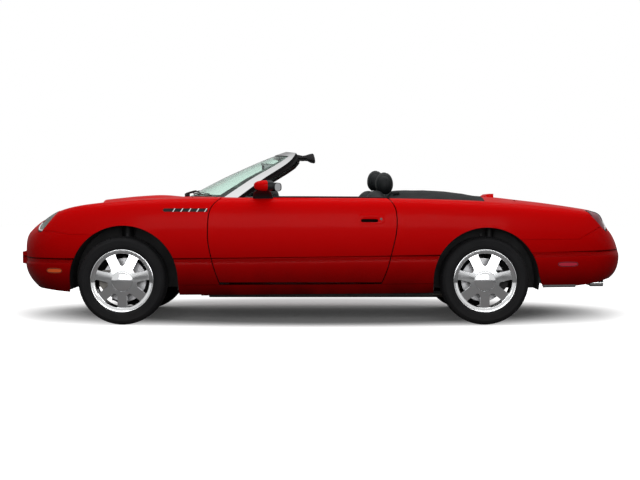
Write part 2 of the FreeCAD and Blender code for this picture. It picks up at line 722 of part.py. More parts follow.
# Sills
SILL_INNER_Y = 745.0
SILL_REAR_END_X = 815.0
sill_left = OUTER.common(
    prism_y(
        [
            (ARCH_HEEL_X - FRONT_ARCH_R, 0.0),
            (SILL_REAR_END_X + REAR_ARCH_R, 0.0),
            (SILL_REAR_END_X + REAR_ARCH_R, sill_line_z(SILL_REAR_END_X)),
            (ARCH_HEEL_X - FRONT_ARCH_R, sill_line_z(ARCH_HEEL_X - FRONT_ARCH_R)),
        ],
        -FAR_Y,
        -SILL_INNER_Y,
    )
).cut(ARCHES)

# Doors. The leading edge is a thin flange that swings in behind the wing
DOOR_FLANGE = 12.0
HINGE_X = -712.0
HINGE_Y = 878.0
HINGE_PIN_R = 5.5
HINGE_EYE_R = 9.0
HINGE_HEIGHT = 34.0
HINGE_LOW_Z = 415.0
HINGE_HIGH_Z = 700.0
DOOR_BODY_X = HINGE_X + 34.0
DOOR_INNER_EASE = 6.0
DOOR_SPLIT_Y = 845.0
HANDLE_CUT = prism_y(
    [
        (HANDLE_FRONT_X, HANDLE_LOW_Z),
        (HANDLE_REAR_X, HANDLE_LOW_Z),
        (HANDLE_REAR_X, HANDLE_HIGH_Z),
        (HANDLE_FRONT_X, HANDLE_HIGH_Z),
    ],
    -FAR_Y,
    -HANDLE_FLOOR_Y,
)
DOOR_SHELL = body_half(DOOR_FLANGE, CUT_OVERRUN, STATIONS)


def door_pocket():
    """The space behind the flange, where the hinges sit."""
    return box(DOOR_FRONT_X - PANEL_GAP, DOOR_BODY_X, -FAR_Y, 0, 0, FAR_Z).common(DOOR_SHELL)


def ring_z(outer_r, inner_r, x, y, z0, z1):
    at = Vector(x, y, z0)
    return Part.makeCylinder(outer_r, z1 - z0, at).cut(Part.makeCylinder(inner_r, z1 - z0, at))


door_left = (
    OUTER.common(
        door_zone(PANEL_GAP, -FAR_Y, -DOOR_SPLIT_Y).fuse(door_zone(PANEL_GAP + DOOR_INNER_EASE,
                                                                   -DOOR_SPLIT_Y, -CABIN_HALF))
    )
    .common(box(-FAR_X, FAR_X, -FAR_Y, 0, SILL_REAR_Z + PANEL_GAP, FAR_Z))
    .cut(door_pocket())
    .cut(HANDLE_CUT)
)
door_left = door_left.fuse(
    box(HANDLE_FRONT_X + HANDLE_EASE, HANDLE_REAR_X - HANDLE_EASE, -FAR_Y, -HANDLE_FLOOR_Y + HANDLE_EASE,
        HANDLE_SLOT_Z, HANDLE_HIGH_Z - HANDLE_EASE).common(OUTER)
)
for low in (HINGE_LOW_Z, HINGE_HIGH_Z):
    eye = ring_z(HINGE_EYE_R, HINGE_PIN_R + PIN_CLEARANCE, HINGE_X, -HINGE_Y, low, low + HINGE_HEIGHT)
    leaf = box(HINGE_X + HINGE_PIN_R + PIN_CLEARANCE, DOOR_BODY_X + WALL, -HINGE_Y - HINGE_PIN_R,
               -HINGE_Y + HINGE_PIN_R,
               low, low + HINGE_HEIGHT)
    door_left = door_left.fuse(eye).fuse(leaf)

# Running gear
RIM_R = 235.0
RIM_BARREL_R = 208.0
RIM_WIDTH = 210.0
RIM_WALL = 9.0
SPOKE_COUNT = 7
SPOKE_WIDTH = 72.0
SPOKE_THICK = 24.0
SPOKE_FALL = 11.0
HUB_R = 82.0
HUB_FACE_R = 112.0
CAP_R = 80.0
CAP_RISE = 19.0
CAP_SHARES = [(0.0, 1.0), (0.35, 0.93), (0.65, 0.72), (0.88, 0.40), (1.0, 0.14)]
TYRE_BEAD_R = 222.0
TYRE_SHOULDER = 26.0
SIDEWALL_SWELL = 9.0
DISC_R = 165.0
DISC_THICK = 28.0
DISC_Y = 40.0
HUB_BORE_R = 30.5
WHEEL_FACE_Y = 93.0


def turned_profile(points):
    """A closed (radius, y) outline spun about the wheel's own axle line along Y."""
    face = polygon_face([Vector(r, y, 0) for r, y in points])
    return face.revolve(Vector(0, 0, 0), Vector(0, 1, 0), 360)


def rim():
    """A seven-spoke wheel centred on its own middle plane, its face towards -Y."""
    half = RIM_WIDTH / 2
    lip = RIM_WALL * 2
    barrel = turned_profile(
        [
            (RIM_R, -half), (RIM_R, -half + RIM_WALL), (RIM_BARREL_R + RIM_WALL, -half + lip),
            (RIM_BARREL_R + RIM_WALL, half - lip), (RIM_R, half - RIM_WALL), (RIM_R, half),
            (RIM_R - RIM_WALL, half), (RIM_BARREL_R, half - lip), (RIM_BARREL_R, -half + lip),
            (RIM_R - RIM_WALL, -half),
        ]
    )
    front = -WHEEL_FACE_Y
    hub = turned_profile(
        [
            (HUB_BORE_R, front), (HUB_FACE_R, front), (HUB_FACE_R, front + SPOKE_THICK),
            (HUB_R, front + SPOKE_THICK),
            (HUB_R, -DISC_Y / 2), (HUB_BORE_R, -DISC_Y / 2),
        ]
    )
    dome = [(CAP_R * out, front - CAP_RISE * up) for out, up in CAP_SHARES]
    cap = turned_profile(dome + [(CAP_R, front), (HUB_BORE_R, front + RIM_WALL), (0, front + RIM_WALL)])
    wheel = barrel.fuse(hub).fuse(cap)
    reach = RIM_BARREL_R + RIM_WALL / 2
    for k in range(SPOKE_COUNT):
        spoke = prism_z(
            [
                (HUB_BORE_R + RIM_WALL, front), (HUB_FACE_R, front), (reach, front + SPOKE_FALL),
                (reach, front + SPOKE_FALL + SPOKE_THICK), (HUB_FACE_R, front + SPOKE_THICK),
                (HUB_BORE_R + RIM_WALL, front + SPOKE_THICK),
            ],
            -SPOKE_WIDTH / 2,
            SPOKE_WIDTH / 2,
        )
        spoke.rotate(Vector(0, 0, 0), Vector(0, 1, 0), 90 + k * 360 / SPOKE_COUNT)
        wheel = wheel.fuse(spoke)
    return wheel


def tyre():
    half = TYRE_WIDTH / 2
    bead = RIM_WIDTH / 2 - RIM_WALL
    return turned_profile(
        [
            (RIM_R, -bead), (RIM_R + RIM_WALL / 2, -bead - RIM_WALL), ((RIM_R + TYRE_R) / 2, -half),
            (TYRE_R - TYRE_SHOULDER, -half + SIDEWALL_SWELL),
            (TYRE_R - TYRE_SHOULDER / 4, -half + TYRE_SHOULDER),
            (TYRE_R, -half + TYRE_SHOULDER * 2), (TYRE_R, half - TYRE_SHOULDER * 2),
            (TYRE_R - TYRE_SHOULDER / 4, half - TYRE_SHOULDER),
            (TYRE_R - TYRE_SHOULDER, half - SIDEWALL_SWELL),
            ((RIM_R + TYRE_R) / 2, half), (RIM_R + RIM_WALL / 2, bead + RIM_WALL), (RIM_R, bead),
            (RIM_BARREL_R + RIM_WALL, bead - RIM_WALL), (RIM_BARREL_R + RIM_WALL, RIM_WALL - bead),
        ]
    )


def brake_disc():
    back = DISC_Y + DISC_THICK
    return turned_profile(
        [
            (HUB_BORE_R, -DISC_Y / 2), (HUB_R, -DISC_Y / 2), (HUB_R, DISC_Y), (DISC_R, DISC_Y),
            (DISC_R, back), (HUB_R - RIM_WALL, back), (HUB_R - RIM_WALL, -DISC_Y / 2 + RIM_WALL),
            (HUB_BORE_R, -DISC_Y / 2 + RIM_WALL),
        ]
    )


def placed_left(shape, axle_x):
    moved = shape.copy()
    moved.translate(Vector(axle_x, -WHEEL_Y, WHEEL_Z))
    return moved


# Front knuckle: an upright with the axle stub, the ball joints, the steering arm and the brake caliper
KINGPIN_Y = 700.0
KINGPIN_LOW_Z = 162.0
KINGPIN_HIGH_Z = 503.0
BALL_R = 13.0
BALL_GAP = 1.5
UPRIGHT_X = 24.0
UPRIGHT_Y = 15.0
STUB_R = 30.0
STEER_ARM_X = 120.0
STEER_ARM_Y = 18.0
STEER_ARM_Z = 24.0
CALIPER_X = 74.0
CALIPER_LOW_R = 96.0
CALIPER_HIGH_R = 186.0
CALIPER_SHELL = 24.0
DISC_GAP = 3.0


def caliper(toward):
    """A brake caliper that straddles the disc, ahead of (-1) or behind (+1) the axle."""
    inner = DISC_Y + DISC_THICK
    sector = [
        (toward * CALIPER_LOW_R, -CALIPER_X), (toward * (CALIPER_HIGH_R - CALIPER_SHELL), -CALIPER_X),
        (toward * CALIPER_HIGH_R, -CALIPER_X / 2), (toward * CALIPER_HIGH_R, CALIPER_X / 2),
        (toward * (CALIPER_HIGH_R - CALIPER_SHELL), CALIPER_X), (toward * CALIPER_LOW_R, CALIPER_X),
    ]
    body = prism_y(sector, DISC_Y - CALIPER_SHELL, inner + CALIPER_SHELL)
    slot = Part.makeCylinder(DISC_R + DISC_GAP, DISC_THICK + DISC_GAP * 2,
                             Vector(0, DISC_Y - DISC_GAP, 0), Vector(0, 1, 0))
    return body.cut(slot)


def front_knuckle():
    """Built about the wheel's centre, its outer side towards -Y."""
    pin_y = WHEEL_Y - KINGPIN_Y
    drop = KINGPIN_LOW_Z - WHEEL_Z
    rise = KINGPIN_HIGH_Z - WHEEL_Z
    inner = DISC_Y + DISC_THICK + DISC_GAP
    upright = prism_y(
        [
            (-UPRIGHT_X / 2, drop), (UPRIGHT_X / 2, drop), (UPRIGHT_X, 0), (UPRIGHT_X / 2, rise),
            (-UPRIGHT_X / 2, rise), (-UPRIGHT_X, 0),
        ],
        inner + UPRIGHT_Y / 3,
        inner + UPRIGHT_Y * 2,
    )
    boss = Part.makeCylinder(HUB_R - RIM_WALL * 2, UPRIGHT_Y * 2, Vector(0, inner, 0), Vector(0, 1, 0))
    stub = Part.makeCylinder(STUB_R, inner + DISC_Y / 2, Vector(0, -DISC_Y / 2 + PIN_CLEARANCE, 0),
                             Vector(0, 1, 0))
    arm = box(0, STEER_ARM_X, inner + UPRIGHT_Y / 2, inner + UPRIGHT_Y / 2 + STEER_ARM_Y,
              drop / 2 - STEER_ARM_Z, drop / 2)
    ears = box(-CALIPER_LOW_R - RIM_WALL, 0, inner, inner + UPRIGHT_Y, -UPRIGHT_X, UPRIGHT_X)
    return upright.fuse(boss).fuse(stub).fuse(arm).fuse(ears).fuse(caliper(-1))


# Inner structure: floor, bulkheads, posts, wheel bays and trunk
FLOOR_Z = 215.0
FLOOR_THICK = 20.0
PLATE = 16.0
TUB_FRONT_X = -900.0
TUB_REAR_X = 1000.0
FIREWALL_X = -892.0
SEAT_WALL_X = 640.0
NOSE_FRAME_X = -2060.0
TAIL_FRAME_X = 2120.0
RAIL_Y0 = 330.0
RAIL_Y1 = 430.0
RAIL_Z0 = 300.0
RAIL_Z1 = 400.0
TUNNEL_HALF = 130.0
TUNNEL_Z = 470.0
TUNNEL_REAR_Z = 400.0
REAR_RAIL_Z0 = 350.0
POST_Y0 = 700.0
POST_Y1 = 762.0
POST_REAR_X = -700.0
TRUNK_FLOOR_Z = 440.0
STACK_FLOOR_Z = 560.0
SIDE_WALL_Y = 700.0
CROSS_X0 = -1976.0
CROSS_X1 = -1940.0
LIFT_PAD_X0 = -500.0
LIFT_PAD_X1 = -400.0
LIFT_PAD_Y0 = 550.0
LIFT_PAD_Y1 = 650.0
LIFT_PAD_DROP = 10.0


def bulkhead(x0, x1, half, z0, z1):
    """A cross wall of the left half, trimmed to the inside of the skin."""
    return box(x0, x1, -half, 0, z0, z1).common(INNER)


def wheel_liner(arch_x, arch_r, bay_y):
    """A curved wheel-bay roof with its inner wall, trimmed to the inside of the skin."""
    outer = cylinder_y(arch_r + LINER, arch_x, ARCH_Z, -FAR_Y, -bay_y + LINER)
    inner = cylinder_y(arch_r, arch_x, ARCH_Z, -FAR_Y, -bay_y)
    below = box(arch_x - arch_r * 2, arch_x + arch_r * 2, -FAR_Y, 0, -FAR_Z, LINER_LOW_Z)
    window = box(arch_x - arch_r / 3, arch_x + arch_r / 3, -bay_y - PLATE, -bay_y + PLATE, 0,
                 TRUNK_FLOOR_Z - PLATE)
    return outer.cut(inner).cut(below).cut(window).common(INNER)


def joined(parts):
    whole = parts[0]
    for part in parts[1:]:
        whole = whole.fuse(part)
    return whole


def tunnel_outline(front_x, rear_x, low_z, drop):
    """The tunnel's side view, its top lowered by drop."""
    return [
        (front_x, low_z), (rear_x, low_z), (rear_x, TUNNEL_REAR_Z - drop),
        (FIREWALL_X + FRONT_BAY_Y, TUNNEL_REAR_Z - drop), (front_x, TUNNEL_Z - drop),
    ]


def floor_half():
    """The floor with its tunnel, the door post and the pad for a workshop lift."""
    floor = box(TUB_FRONT_X, TUB_REAR_X, -SILL_INNER_Y, 0, FLOOR_Z, FLOOR_Z + FLOOR_THICK)
    tunnel = prism_y(tunnel_outline(TUB_FRONT_X, SEAT_WALL_X, FLOOR_Z, 0), -TUNNEL_HALF, 0)
    hollow = prism_y(tunnel_outline(TUB_FRONT_X - PLATE, SEAT_WALL_X + PLATE, 0, PLATE),
                     -TUNNEL_HALF + PLATE, 0)
    post = box(FIREWALL_X, POST_REAR_X, -POST_Y1, -POST_Y0, FLOOR_Z, BELT_Z).common(INNER)
    pad = box(LIFT_PAD_X0, LIFT_PAD_X1, -LIFT_PAD_Y1, -LIFT_PAD_Y0, FLOOR_Z - LIFT_PAD_DROP,
              FLOOR_Z + FLOOR_THICK)
    shell = joined([floor.cut(REAR_ARCH).cut(FRONT_ARCH), tunnel.cut(hollow), post, pad])
    return shell.cut(sill_left)


def bulkheads_half():
    """The walls ahead of and behind the cabin."""
    firewall = bulkhead(FIREWALL_X - PLATE, FIREWALL_X, COWL_HALF, FLOOR_Z, BELT_Z)
    seat_wall = bulkhead(SEAT_WALL_X, SEAT_WALL_X + PLATE, COWL_HALF, FLOOR_Z, BELT_Z - WALL * 3)
    return firewall.fuse(seat_wall).cut(sill_left)


def front_structure_half():
    """The rail, the radiator cross wall and the wheel bay ahead of the firewall."""
    return joined([
        bulkhead(CROSS_X0, CROSS_X1, COWL_HALF, RAIL_Z0, FRONT_SEAM_LAMP_Z),
        box(NOSE_FRAME_X, FIREWALL_X - PLATE, -RAIL_Y1, -RAIL_Y0, RAIL_Z0, RAIL_Z1),
        box(NOSE_FRAME_X, FIREWALL_X - PLATE, -FRONT_BAY_Y + LINER, -FRONT_BAY_Y + LINER + PLATE,
            RAIL_Z0, FRONT_SEAM_LAMP_Z),
        wheel_liner(FRONT_ARCH_X, FRONT_ARCH_R, FRONT_BAY_Y),
    ]).cut(sill_left)


def rear_structure_half():
    """The rail, the stack well, the trunk and the wheel bay behind the seat wall."""
    wall_y = -REAR_BAY_Y + PLATE
    return joined([
        bulkhead(TAIL_FRAME_X, TAIL_FRAME_X + PLATE, COWL_HALF, REAR_RAIL_Z0, LID_BOTTOM_Z - PANEL_GAP),
        box(SEAT_WALL_X, TAIL_FRAME_X, -RAIL_Y1, -RAIL_Y0, REAR_RAIL_Z0, TRUNK_FLOOR_Z),
        box(SEAT_WALL_X, TAIL_FRAME_X, wall_y, wall_y + PLATE, TRUNK_FLOOR_Z, BELT_Z - WALL * 8),
        box(SEAT_WALL_X, DECK_FRONT_X + PLATE, -CABIN_HALF, 0, STACK_FLOOR_Z,
            STACK_FLOOR_Z + PLATE).cut(REAR_ARCH),
        bulkhead(DECK_FRONT_X, DECK_FRONT_X + PLATE, CABIN_HALF + PLATE / 2, TRUNK_FLOOR_Z,
                 FAR_Z).cut(REAR_ARCH),
        box(DECK_FRONT_X, TAIL_FRAME_X + PLATE, wall_y, 0, TRUNK_FLOOR_Z, TRUNK_FLOOR_Z + PLATE),
        box(SEAT_WALL_X, DECK_FRONT_X, wall_y, 0, TRUNK_FLOOR_Z, TRUNK_FLOOR_Z + PLATE),
        wheel_liner(REAR_ARCH_X, REAR_ARCH_R, REAR_BAY_Y),
    ]).cut(sill_left)


# Door side walls beside the stack well, and the quarter's inner trim
TRIM_WALL = 12.0
quarter_trim = box(
    DOOR_REAR_X + PANEL_GAP * 2, DECK_FRONT_X, -CABIN_HALF - TRIM_WALL, -CABIN_HALF, SILL_REAR_Z, FAR_Z
).common(INNER).cut(REAR_ARCH)

# Hinge brackets that reach out from the door post to each hinge pin
HINGE_ARM_X1 = HINGE_X + 20.0


def door_hinge_brackets():
    parts = []
    for low in (HINGE_LOW_Z, HINGE_HIGH_Z):
        arm_low = low - HINGE_HEIGHT / 2 - PIN_CLEARANCE
        arm_high = low - PIN_CLEARANCE
        arm = box(HINGE_X, HINGE_ARM_X1, -HINGE_Y, -POST_Y1 + PLATE / 2, arm_low, arm_high)
        nose = Part.makeCylinder(HINGE_EYE_R, arm_high - arm_low, Vector(HINGE_X, -HINGE_Y, arm_low))
        pin = Part.makeCylinder(HINGE_PIN_R, low + HINGE_HEIGHT - arm_low,
                                Vector(HINGE_X, -HINGE_Y, arm_low))
        parts.append(arm.fuse(nose).fuse(pin))
    return parts


# Lid hinges: a pin along Y in the gap between lid and fixed panel, just under the skin
LID_PIN_R = 3.5
LID_EYE_R = 6.0
LID_HINGE_LENGTH = 30.0
LID_PIN_DEPTH = 8.0
HOOD_PIN_X = bow_x(HOOD_REAR_X, HOOD_REAR_HALF, HOOD_REAR_CENTRE_X, HOOD_HINGE_Y) + HOOD_REAR_GAP / 2
LID_PIN_X = bow_x(LID_FRONT_X, LID_FRONT_HALF, LID_FRONT_CENTRE_X, LID_HINGE_Y) - LID_GAP / 2
LID_LEAF = 5.0


def skin_z(x, y):
    """The height of the outer skin above one place in plan."""
    probe = Part.makeLine(Vector(x, y, BELT_Z - WALL * 12), Vector(x, y, FAR_Z))
    return max(v.Point.z for v in OUTER.common(probe).Vertexes)


def lid_hinge(x, y, side, gap):
    """One hinge on the left: the eye and leaf that ride on the lid, and the pin and foot on the fixed panel.

    The lid lies towards side (-1 ahead, +1 behind) of the pin.
    """
    z = skin_z(x, -y) - LID_PIN_DEPTH
    half = LID_HINGE_LENGTH / 2
    bore = LID_PIN_R + PIN_CLEARANCE
    leaf_x = sorted((x + side * (bore + PIN_CLEARANCE), x + side * (gap / 2 + LID_LEAF)))
    foot_x = sorted((x, x - side * (gap / 2 + LID_LEAF)))
    eye = cylinder_y(LID_EYE_R, x, z, -y - half, -y).cut(cylinder_y(bore, x, z, -y - half, -y))
    leaf = box(leaf_x[0], leaf_x[1], -y - half, -y, z - LID_EYE_R, z)
    pin = cylinder_y(LID_PIN_R, x, z, -y - half, -y + half)
    foot = box(foot_x[0], foot_x[1], -y + PIN_CLEARANCE, -y + half, z - LID_EYE_R, z + LID_PIN_R)
    return eye.fuse(leaf), pin.fuse(foot)


# Hood scoop: a low hump with its mouth to the front
SCOOP_FRONT_X = -1718.0
SCOOP_REAR_X = -1130.0
SCOOP_HALF = 300.0
SCOOP_RISE = 22.0
SCOOP_FULLNESS = 2.6
SCOOP_FADE = 0.75


def scoop_rows():
    """Control points of the hump's left half, from its mouth back to where it sinks into the hood."""
    steps = 8
    rows = []
    for i in range(steps + 1):
        along = i / steps
        x = SCOOP_FRONT_X + (SCOOP_REAR_X - SCOOP_FRONT_X) * along
        centre_z = crown_z(x)
        edge_z = skin_z(x, -SCOOP_HALF)
        rise = SCOOP_RISE * min(1.0, SCOOP_FULLNESS * (1 - along) ** SCOOP_FADE)
        row = []
        for j in range(steps + 1):
            out = j / steps
            base = centre_z - (centre_z - edge_z) * out ** TOP_ROUND
            row.append(Vector(x, -SCOOP_HALF * out, base + rise * (1 - out ** 4)))
        rows.append(row)
    return rows


def hull_between(rows_low, rows_high):
    """A closed solid between two pole grids with the same rows and columns."""
    faces = [cubic_patch(rows_low), cubic_patch(rows_high)]
    for pick in (
        lambda rows: rows[0],
        lambda rows: rows[-1],
        lambda rows: [row[0] for row in rows],
        lambda rows: [row[-1] for row in rows],
    ):
        faces.append(Part.makeRuledSurface(cubic_edge(pick(rows_low)), cubic_edge(pick(rows_high))))
    shell = Part.Shell(Part.makeShell(faces).Faces)
    shell.sewShape()
    solid = Part.Solid(shell)
    if solid.Volume < 0:
        solid.reverse()
    return solid


def shifted(rows, dx, dz):
    return [[p + Vector(dx, 0, dz) for p in row] for row in rows]


# Windscreen: a curved pane wrapped round at the sides, in a bright frame of two posts and a header
SCREEN_BASE_X = -1062.0
SCREEN_BASE_Z = 966.0
SCREEN_TOP_X = -285.0
SCREEN_TOP_Z = 1322.0
POST_BASE_X = -648.0
POST_BASE_Y = 757.0
POST_BASE_Z = 944.0
POST_TOP_X = -192.0
POST_TOP_Y = 588.0
POST_TOP_Z = 1300.0
# How far along from base to top, at each share of the rise
CENTRE_RUN_SHARES = [
    (0.0, 0.0), (0.15, 0.115), (0.30, 0.248), (0.42, 0.355), (0.55, 0.483), (0.71, 0.648), (0.84, 0.786),
    (0.93, 0.893), (1.0, 1.0),
]
POST_RUN_SHARES = [
    (0.0, 0.0), (0.15, 0.155), (0.30, 0.315), (0.42, 0.430), (0.55, 0.590), (0.71, 0.790), (0.84, 0.930),
    (0.93, 0.975), (1.0, 1.0),
]
POST_LEAN_SHARES = [
    (0.0, 0.0), (0.15, 0.10), (0.30, 0.21), (0.42, 0.31), (0.55, 0.43), (0.71, 0.60), (0.84, 0.76),
    (0.93, 0.88), (1.0, 1.0),
]
SCREEN_STEPS = 10
# How sharply the pane wraps at the sides, and which way its thickness points
SCREEN_WRAP = 2.5
DEPTH_BACK_SHARE = 0.40
DEPTH_SIDE_SHARE = 0.45
DEPTH_DOWN_SHARE = 0.87
DEPTH_EASE_SHARE = 0.35
POST_SHARE = 0.885
HEADER_SHARE = 0.925
FRAME_THICK = 30.0
GLASS_THICK = 6.0
GLASS_INSET = 4.0


def screen_point(across, rise, depth):
    centre_x = SCREEN_BASE_X + (SCREEN_TOP_X - SCREEN_BASE_X) * table(rise, CENTRE_RUN_SHARES)
    centre_z = SCREEN_BASE_Z + (SCREEN_TOP_Z - SCREEN_BASE_Z) * rise
    side_x = POST_BASE_X + (POST_TOP_X - POST_BASE_X) * table(rise, POST_RUN_SHARES)
    side_z = POST_BASE_Z + (POST_TOP_Z - POST_BASE_Z) * rise
    side_y = POST_BASE_Y + (POST_TOP_Y - POST_BASE_Y) * table(rise, POST_LEAN_SHARES)
    turn = across ** 3
    return Vector(
        centre_x + (side_x - centre_x) * across ** SCREEN_WRAP + depth * DEPTH_BACK_SHARE,
        -side_y * across + depth * DEPTH_SIDE_SHARE * turn,
        centre_z + (side_z - centre_z) * across ** 2
        - depth * DEPTH_DOWN_SHARE * (1 - DEPTH_EASE_SHARE * turn),
    )


def screen_slab(depth_out, depth_in, across_share=1.0, rise_share=1.0):
    grids = []
    for depth in (depth_out, depth_in):
        grids.append([
            [screen_point(across_share * a / SCREEN_STEPS, rise_share * k / SCREEN_STEPS, depth)
             for a in range(SCREEN_STEPS + 1)]
            for k in range(SCREEN_STEPS + 1)
        ])
    return hull_between(*grids)


def windscreen():
    opening = screen_slab(-FRAME_THICK, FRAME_THICK * 2, POST_SHARE, HEADER_SHARE)
    frame = screen_slab(0.0, FRAME_THICK).cut(opening).cut(OUTER)
    glass = screen_slab(GLASS_INSET, GLASS_INSET + GLASS_THICK).common(opening).cut(OUTER)
    return across(frame), across(glass)


# Dashboard with its top pad, instrument hood and the console between the seats
DASH_HALF = 690.0
DASH_FRONT_X = FIREWALL_X
DASH_EDGE_X = -470.0
DASH_TOP_Z = 925.0
DASH_LOW_Z = 640.0
DASH_KNEE_X = -640.0
BINNACLE_Y = 370.0
BINNACLE_HALF = 170.0
BINNACLE_RISE = 40.0
CONSOLE_HALF = 100.0
CONSOLE_Z = 560.0
CONSOLE_REAR_X = 260.0
ARMREST_Z = 660.0
ARMREST_FRONT_X = -60.0


def dashboard():
    profile = [
        (DASH_FRONT_X, DASH_LOW_Z + FLOOR_THICK * 4), (DASH_KNEE_X, DASH_LOW_Z),
        (DASH_EDGE_X - FLOOR_THICK * 3, DASH_LOW_Z + FLOOR_THICK),
        (DASH_EDGE_X, DASH_LOW_Z + FLOOR_THICK * 5),
        (DASH_EDGE_X - FLOOR_THICK, DASH_TOP_Z - FLOOR_THICK * 4),
        (DASH_EDGE_X - FLOOR_THICK * 2, DASH_TOP_Z - FLOOR_THICK * 2),
        (DASH_EDGE_X - FLOOR_THICK * 5, DASH_TOP_Z - FLOOR_THICK / 2),
        (DASH_EDGE_X - FLOOR_THICK * 9, DASH_TOP_Z),
        (DASH_FRONT_X, DASH_TOP_Z),
    ]
    pad = prism_y(profile, -DASH_HALF, DASH_HALF)
    hood = cylinder_binnacle()
    console = prism_y(
        [
            (DASH_KNEE_X - FLOOR_THICK * 4, TUNNEL_Z), (DASH_KNEE_X, DASH_LOW_Z + FLOOR_THICK),
            (DASH_KNEE_X + FLOOR_THICK * 2, CONSOLE_Z), (ARMREST_FRONT_X, CONSOLE_Z),
            (ARMREST_FRONT_X + FLOOR_THICK, ARMREST_Z), (CONSOLE_REAR_X, ARMREST_Z),
            (CONSOLE_REAR_X, TUNNEL_REAR_Z), (FIREWALL_X + FRONT_BAY_Y, TUNNEL_REAR_Z),
        ],
        -CONSOLE_HALF,
        CONSOLE_HALF,
    )
    return pad.fuse(hood).fuse(console)


def cylinder_binnacle():
    """A half-round instrument hood in front of the driver."""
    front, back = DASH_EDGE_X - FLOOR_THICK * 12, DASH_EDGE_X - FLOOR_THICK
    tube = Part.makeCylinder(BINNACLE_HALF, back - front,
                             Vector(front, -BINNACLE_Y, DASH_TOP_Z + BINNACLE_RISE - BINNACLE_HALF),
                             Vector(1, 0, 0))
    return tube.common(box(front, back, -DASH_HALF, 0, DASH_TOP_Z - FLOOR_THICK * 6, FAR_Z))


# Seats
SEAT_Y = 370.0
SEAT_HALF = 235.0
SEAT_FRONT_X = -130.0
SEAT_BACK_X = 400.0
SEAT_BASE_Z = FLOOR_Z + FLOOR_THICK
SEAT_TOP_Z = 520.0
BACK_LEAN = 105.0
BACK_TOP_Z = 1008.0
BACK_THICK = 150.0
HEADREST_X = 494.0
HEADREST_Z = 1067.0
HEADREST_WIDE = 250.0
HEADREST_DEEP = 141.0
HEADREST_TALL = 180.0
FAR_SEAT_SHIFT_X = -38.0
FAR_HEADREST_LIFT = 26.0
POST_PIN_R = 7.0


def seat(y, shift, lift):
    cushion = prism_y(
        [
            (SEAT_FRONT_X, SEAT_BASE_Z + BACK_LEAN), (SEAT_FRONT_X + WALL, SEAT_TOP_Z - WALL),
            (SEAT_FRONT_X + BACK_LEAN, SEAT_TOP_Z), (SEAT_BACK_X - BACK_THICK, SEAT_TOP_Z - WALL * 2),
            (SEAT_BACK_X, SEAT_TOP_Z - WALL), (SEAT_BACK_X, SEAT_BASE_Z),
            (SEAT_FRONT_X + BACK_LEAN, SEAT_BASE_Z),
        ],
        y - SEAT_HALF,
        y + SEAT_HALF,
    )
    back = prism_y(
        [
            (SEAT_BACK_X - BACK_THICK - WALL, SEAT_TOP_Z - WALL * 3),
            (SEAT_BACK_X - BACK_THICK / 5, BACK_TOP_Z - WALL * 4),
            (SEAT_BACK_X + WALL / 2, BACK_TOP_Z - WALL), (SEAT_BACK_X + WALL * 2, BACK_TOP_Z),
            (SEAT_BACK_X + BACK_LEAN - WALL, BACK_TOP_Z), (SEAT_BACK_X + BACK_LEAN, BACK_TOP_Z - WALL * 2),
            (SEAT_BACK_X + WALL, SEAT_TOP_Z - WALL),
            (SEAT_BACK_X, SEAT_BASE_Z + WALL),
        ],
        y - SEAT_HALF,
        y + SEAT_HALF,
    )
    corners = box(-FAR_X, FAR_X, y - SEAT_HALF - WALL, y + SEAT_HALF + WALL, 0, FAR_Z)
    head = Part.makeSphere(HEADREST_TALL / 2)
    matrix = FreeCAD.Matrix()
    matrix.scale(Vector(HEADREST_DEEP / HEADREST_TALL, HEADREST_WIDE / HEADREST_TALL, 1))
    head = head.transformGeometry(matrix)
    head.translate(Vector(HEADREST_X, y, HEADREST_Z + lift))
    seat_solid = cushion.fuse(back).common(corners)
    for side in (-1, 1):
        stem = rod(Vector(SEAT_BACK_X + BACK_LEAN - WALL * 3, y + side * HEADREST_WIDE / 5,
                          BACK_TOP_Z - WALL * 2),
                   Vector(HEADREST_X, y + side * HEADREST_WIDE / 5, HEADREST_Z + lift), POST_PIN_R)
        seat_solid = seat_solid.fuse(stem)
    seat_solid = seat_solid.fuse(head)
    seat_solid.translate(Vector(shift, 0, 0))
    return seat_solid


# Soft cover over the folded top, behind the seats
COVER_FRONT_X = 520.0
COVER_REAR_X = DECK_FRONT_X - PIN_CLEARANCE
COVER_HALF = CABIN_HALF - PIN_CLEARANCE
COVER_DEPTH = 60.0
COVER_SINK = 12.0
COVER_PROFILE_SHARES = [
    (0.0, 0.25), (0.02, 0.60), (0.06, 0.90), (0.12, 1.0), (0.42, 1.0), (0.62, 0.90), (0.82, 0.66),
    (0.95, 0.44), (1.0, 0.40),
]
COVER_RISE = 72.0
COVER_STEPS = 9


def boot_cover():
    low, high = [], []
    for share, rise_share in COVER_PROFILE_SHARES:
        x = COVER_FRONT_X + (COVER_REAR_X - COVER_FRONT_X) * share
        row_low, row_high = [], []
        for j in range(COVER_STEPS):
            out = j / (COVER_STEPS - 1)
            y = -COVER_HALF * out
            z = BELT_Z - COVER_SINK + COVER_RISE * rise_share * (1 - out ** 5) - WALL * out ** 4
            row_high.append(Vector(x, y, z))
            row_low.append(Vector(x, y, BELT_Z - COVER_DEPTH))
        low.append(row_low)
        high.append(row_high)
    return across(hull_between(low, high))


# Grille: an oval egg-crate in the nose, with a bright surround
GRILLE_Z = 606.0
GRILLE_HALF_Y = 330.0
GRILLE_HALF_Z = 74.0
GRILLE_PITCH = 40.0
GRILLE_BAR = 5.0
GRILLE_FRONT = 14.0
GRILLE_BACK = 40.0
GRILLE_RING = 9.0


